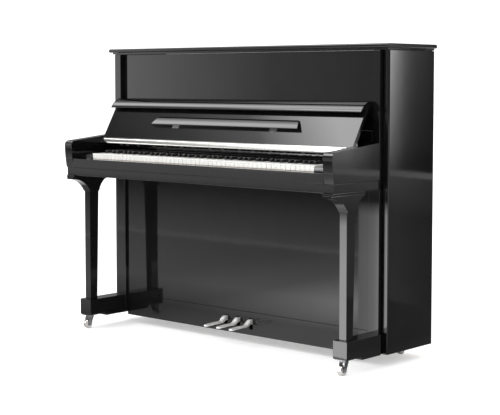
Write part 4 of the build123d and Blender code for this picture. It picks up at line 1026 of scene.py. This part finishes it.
# %% Surround
world = bpy.data.worlds.new("studio")
bpy.context.scene.world = world
world.use_nodes = True
sky = world.node_tree
sky_light = sky.nodes["Background"]
ray = sky.nodes.new("ShaderNodeLightPath")
level = sky.nodes.new("ShaderNodeMapRange")
sky.links.new(ray.outputs["Is Glossy Ray"], level.inputs["Value"])
level.inputs["To Min"].default_value = 1.3
level.inputs["To Max"].default_value = 0.33
sky.links.new(level.outputs["Result"], sky_light.inputs["Strength"])
sky_light.inputs["Color"].default_value = (1, 1, 1, 1)
print("surround ready")


# %% Screens for the mirror gloss
def shade(finish, share, stops):
    """A grey ramp through (share, strength) stops, as a share of the brightest, and that brightest."""
    peak = max(strength for _, strength in stops)
    return ramp(finish, share, [(at, (strength / peak,) * 3) for at, strength in stops]), peak


def screen(name, corners, across, up=((0.0, 1.0), (1.0, 1.0))):
    """A glowing four-cornered screen that only mirror rays see. Its glow is the product of two ramps of
    (share, strength): across, from the first corner to the second, and up, from the second to the third."""
    mesh = bpy.data.meshes.new(name)
    mesh.from_pydata(corners, [], [(0, 1, 2, 3)])
    layer = mesh.uv_layers.new(name="share")
    layer.data.foreach_set("uv", [0, 0, 1, 0, 1, 1, 0, 1])
    card = bpy.data.objects.new(name, mesh)
    bpy.context.scene.collection.objects.link(card)
    glow = bpy.data.materials.new(name)
    glow.use_nodes = True
    tree = glow.node_tree
    tree.nodes.clear()
    out = tree.nodes.new("ShaderNodeOutputMaterial")
    light = tree.nodes.new("ShaderNodeEmission")
    tree.links.new(light.outputs[0], out.inputs["Surface"])
    split = add_node(glow, "ShaderNodeSeparateXYZ", Vector=add_node(glow, "ShaderNodeTexCoord").outputs["UV"])
    side, side_peak = shade(glow, split.outputs["X"], across)
    rise, rise_peak = shade(glow, split.outputs["Y"], up)
    both = add_node(glow, "ShaderNodeVectorMath", {"operation": "MULTIPLY"})
    tree.links.new(side, both.inputs[0])
    tree.links.new(rise, both.inputs[1])
    tree.links.new(both.outputs[0], light.inputs["Color"])
    light.inputs["Strength"].default_value = side_peak * rise_peak
    mesh.materials.append(glow)
    card.visible_camera = False
    card.visible_diffuse = False
    card.visible_shadow = False
    card.visible_transmission = False
    print(f"{name}: brightest {side_peak * rise_peak:.1f}")
    return card


def upright_screen(name, x, y, z, across, up=((0.0, 1.0), (1.0, 1.0))):
    """A screen that stands square to Y over a range of X and of Z."""
    corners = [(x[0], y, z[0]), (x[1], y, z[0]), (x[1], y, z[1]), (x[0], y, z[1])]
    return screen(name, corners, across, up)


# %% Screens in front, for the panels, the key bed, the legs and the toe blocks
upright_screen(
    "front_screen", (-4.2, -0.4), -2.6, (0.72, 3.4), [(0.0, 2.9), (0.26, 1.9), (0.56, 0.75), (0.85, 0.45)],
    [(0.0, 0.25), (0.05, 1.0), (0.21, 1.0), (0.25, 0.75)],
)
upright_screen(
    "low_screen", (-4.6, -0.4), -2.61, (-0.01, 0.72), [(0.0, 0.95), (1.0, 0.95)],
    [(0.0, 1.0), (0.25, 0.65), (0.5, 0.2), (0.56, 0.22), (0.63, 1.1)],
)
upright_screen(
    "leg_screen", (0.28, 0.6), -0.45, (0.0, 0.58), [(0.0, 2.2), (0.3, 3.0), (0.6, 7.4), (1.0, 7.8)],
    [(0.0, 1.0), (0.6, 0.95), (0.9, 0.8), (1.0, 0.1)],
)
upright_screen(
    "strip_screen", (-1.6, 0.08), -1.0, (0.695, 0.75),
    [(0.15, 0.8), (0.45, 1.8), (0.58, 3.2), (0.76, 8.0), (1.0, 10.0)],
)
screen(
    "floor_glow", [(-4.2, -2.45, 0.004), (0.62, -2.45, 0.004), (0.62, -0.1, 0.004), (-4.2, -0.1, 0.004)],
    [(0.2, 1.3), (0.54, 1.2), (0.7, 1.7), (0.86, 4.4), (0.94, 4.6), (0.96, 7.5)],
    [(0.0, 0.62), (0.6, 0.9), (0.78, 0.5), (0.86, 0.3), (1.0, 0.3)],
)

# %% Screens overhead, for the fallboard, its lip and the music shelf
screen(
    "fallboard_screen", [(-3.8, -3.4, 3.0), (0.6, -3.4, 3.0), (0.6, -0.75, 3.0), (-3.8, -0.75, 3.0)],
    [(0.0, 0.1), (0.25, 0.6), (0.4, 1.6), (0.56, 8.5)],
)
screen(
    "lip_screen", [(-3.8, -0.75, 3.0), (0.6, -0.75, 3.0), (0.6, 1.6, 3.0), (-3.8, 1.6, 3.0)],
    [(0.0, 5.2), (1.0, 7.2)], [(0.0, 0.6), (0.1, 1.0), (0.22, 1.0), (0.36, 0.4), (0.5, 0.12), (0.8, 0.05)],
)

# %% Screens behind on the right, for the side panel, the arms and the key bed's ends
upright_screen(
    "side_screen", (1.8, 2.8), 2.0, (0.58, 1.9),
    [(0.1, 0.3), (0.3, 0.7), (0.38, 1.1), (0.44, 1.8), (0.52, 3.6), (0.64, 7.6)],
    [(0.0, 0.1), (0.12, 0.3), (0.28, 0.5), (0.42, 0.72), (0.62, 1.0)],
)
upright_screen(
    "flag", (1.0, 4.5), 1.2, (-0.01, 0.62), [(0.1, 0.16), (0.19, 0.36)], [(0.0, 0.9), (0.7, 0.8), (1.0, 1.7)]
)
screen(
    "floor_flag", [(0.78, -0.25, 0.004), (3.2, -0.25, 0.004), (3.2, 1.2, 0.004), (0.78, 1.2, 0.004)],
    [(0.0, 0.3), (0.1, 0.18)],
)


# %% Soft key light
def soft_light(name, place_at, aim, size, power):
    """A large square lamp that points at aim."""
    lamp = bpy.data.lights.new(name, "AREA")
    lamp.size = size
    lamp.energy = power
    made = bpy.data.objects.new(name, lamp)
    made.location = place_at
    towards = np.array(aim) - np.array(place_at)
    made.rotation_euler = Vector(towards).to_track_quat("-Z", "Y").to_euler()
    made.visible_glossy = False
    bpy.context.scene.collection.objects.link(made)
    return made


soft_light("overhead_lamp", (-1.6, -2.2, 3.2), (0, 0, 0.5), 2.4, 60)
print("lamps ready")
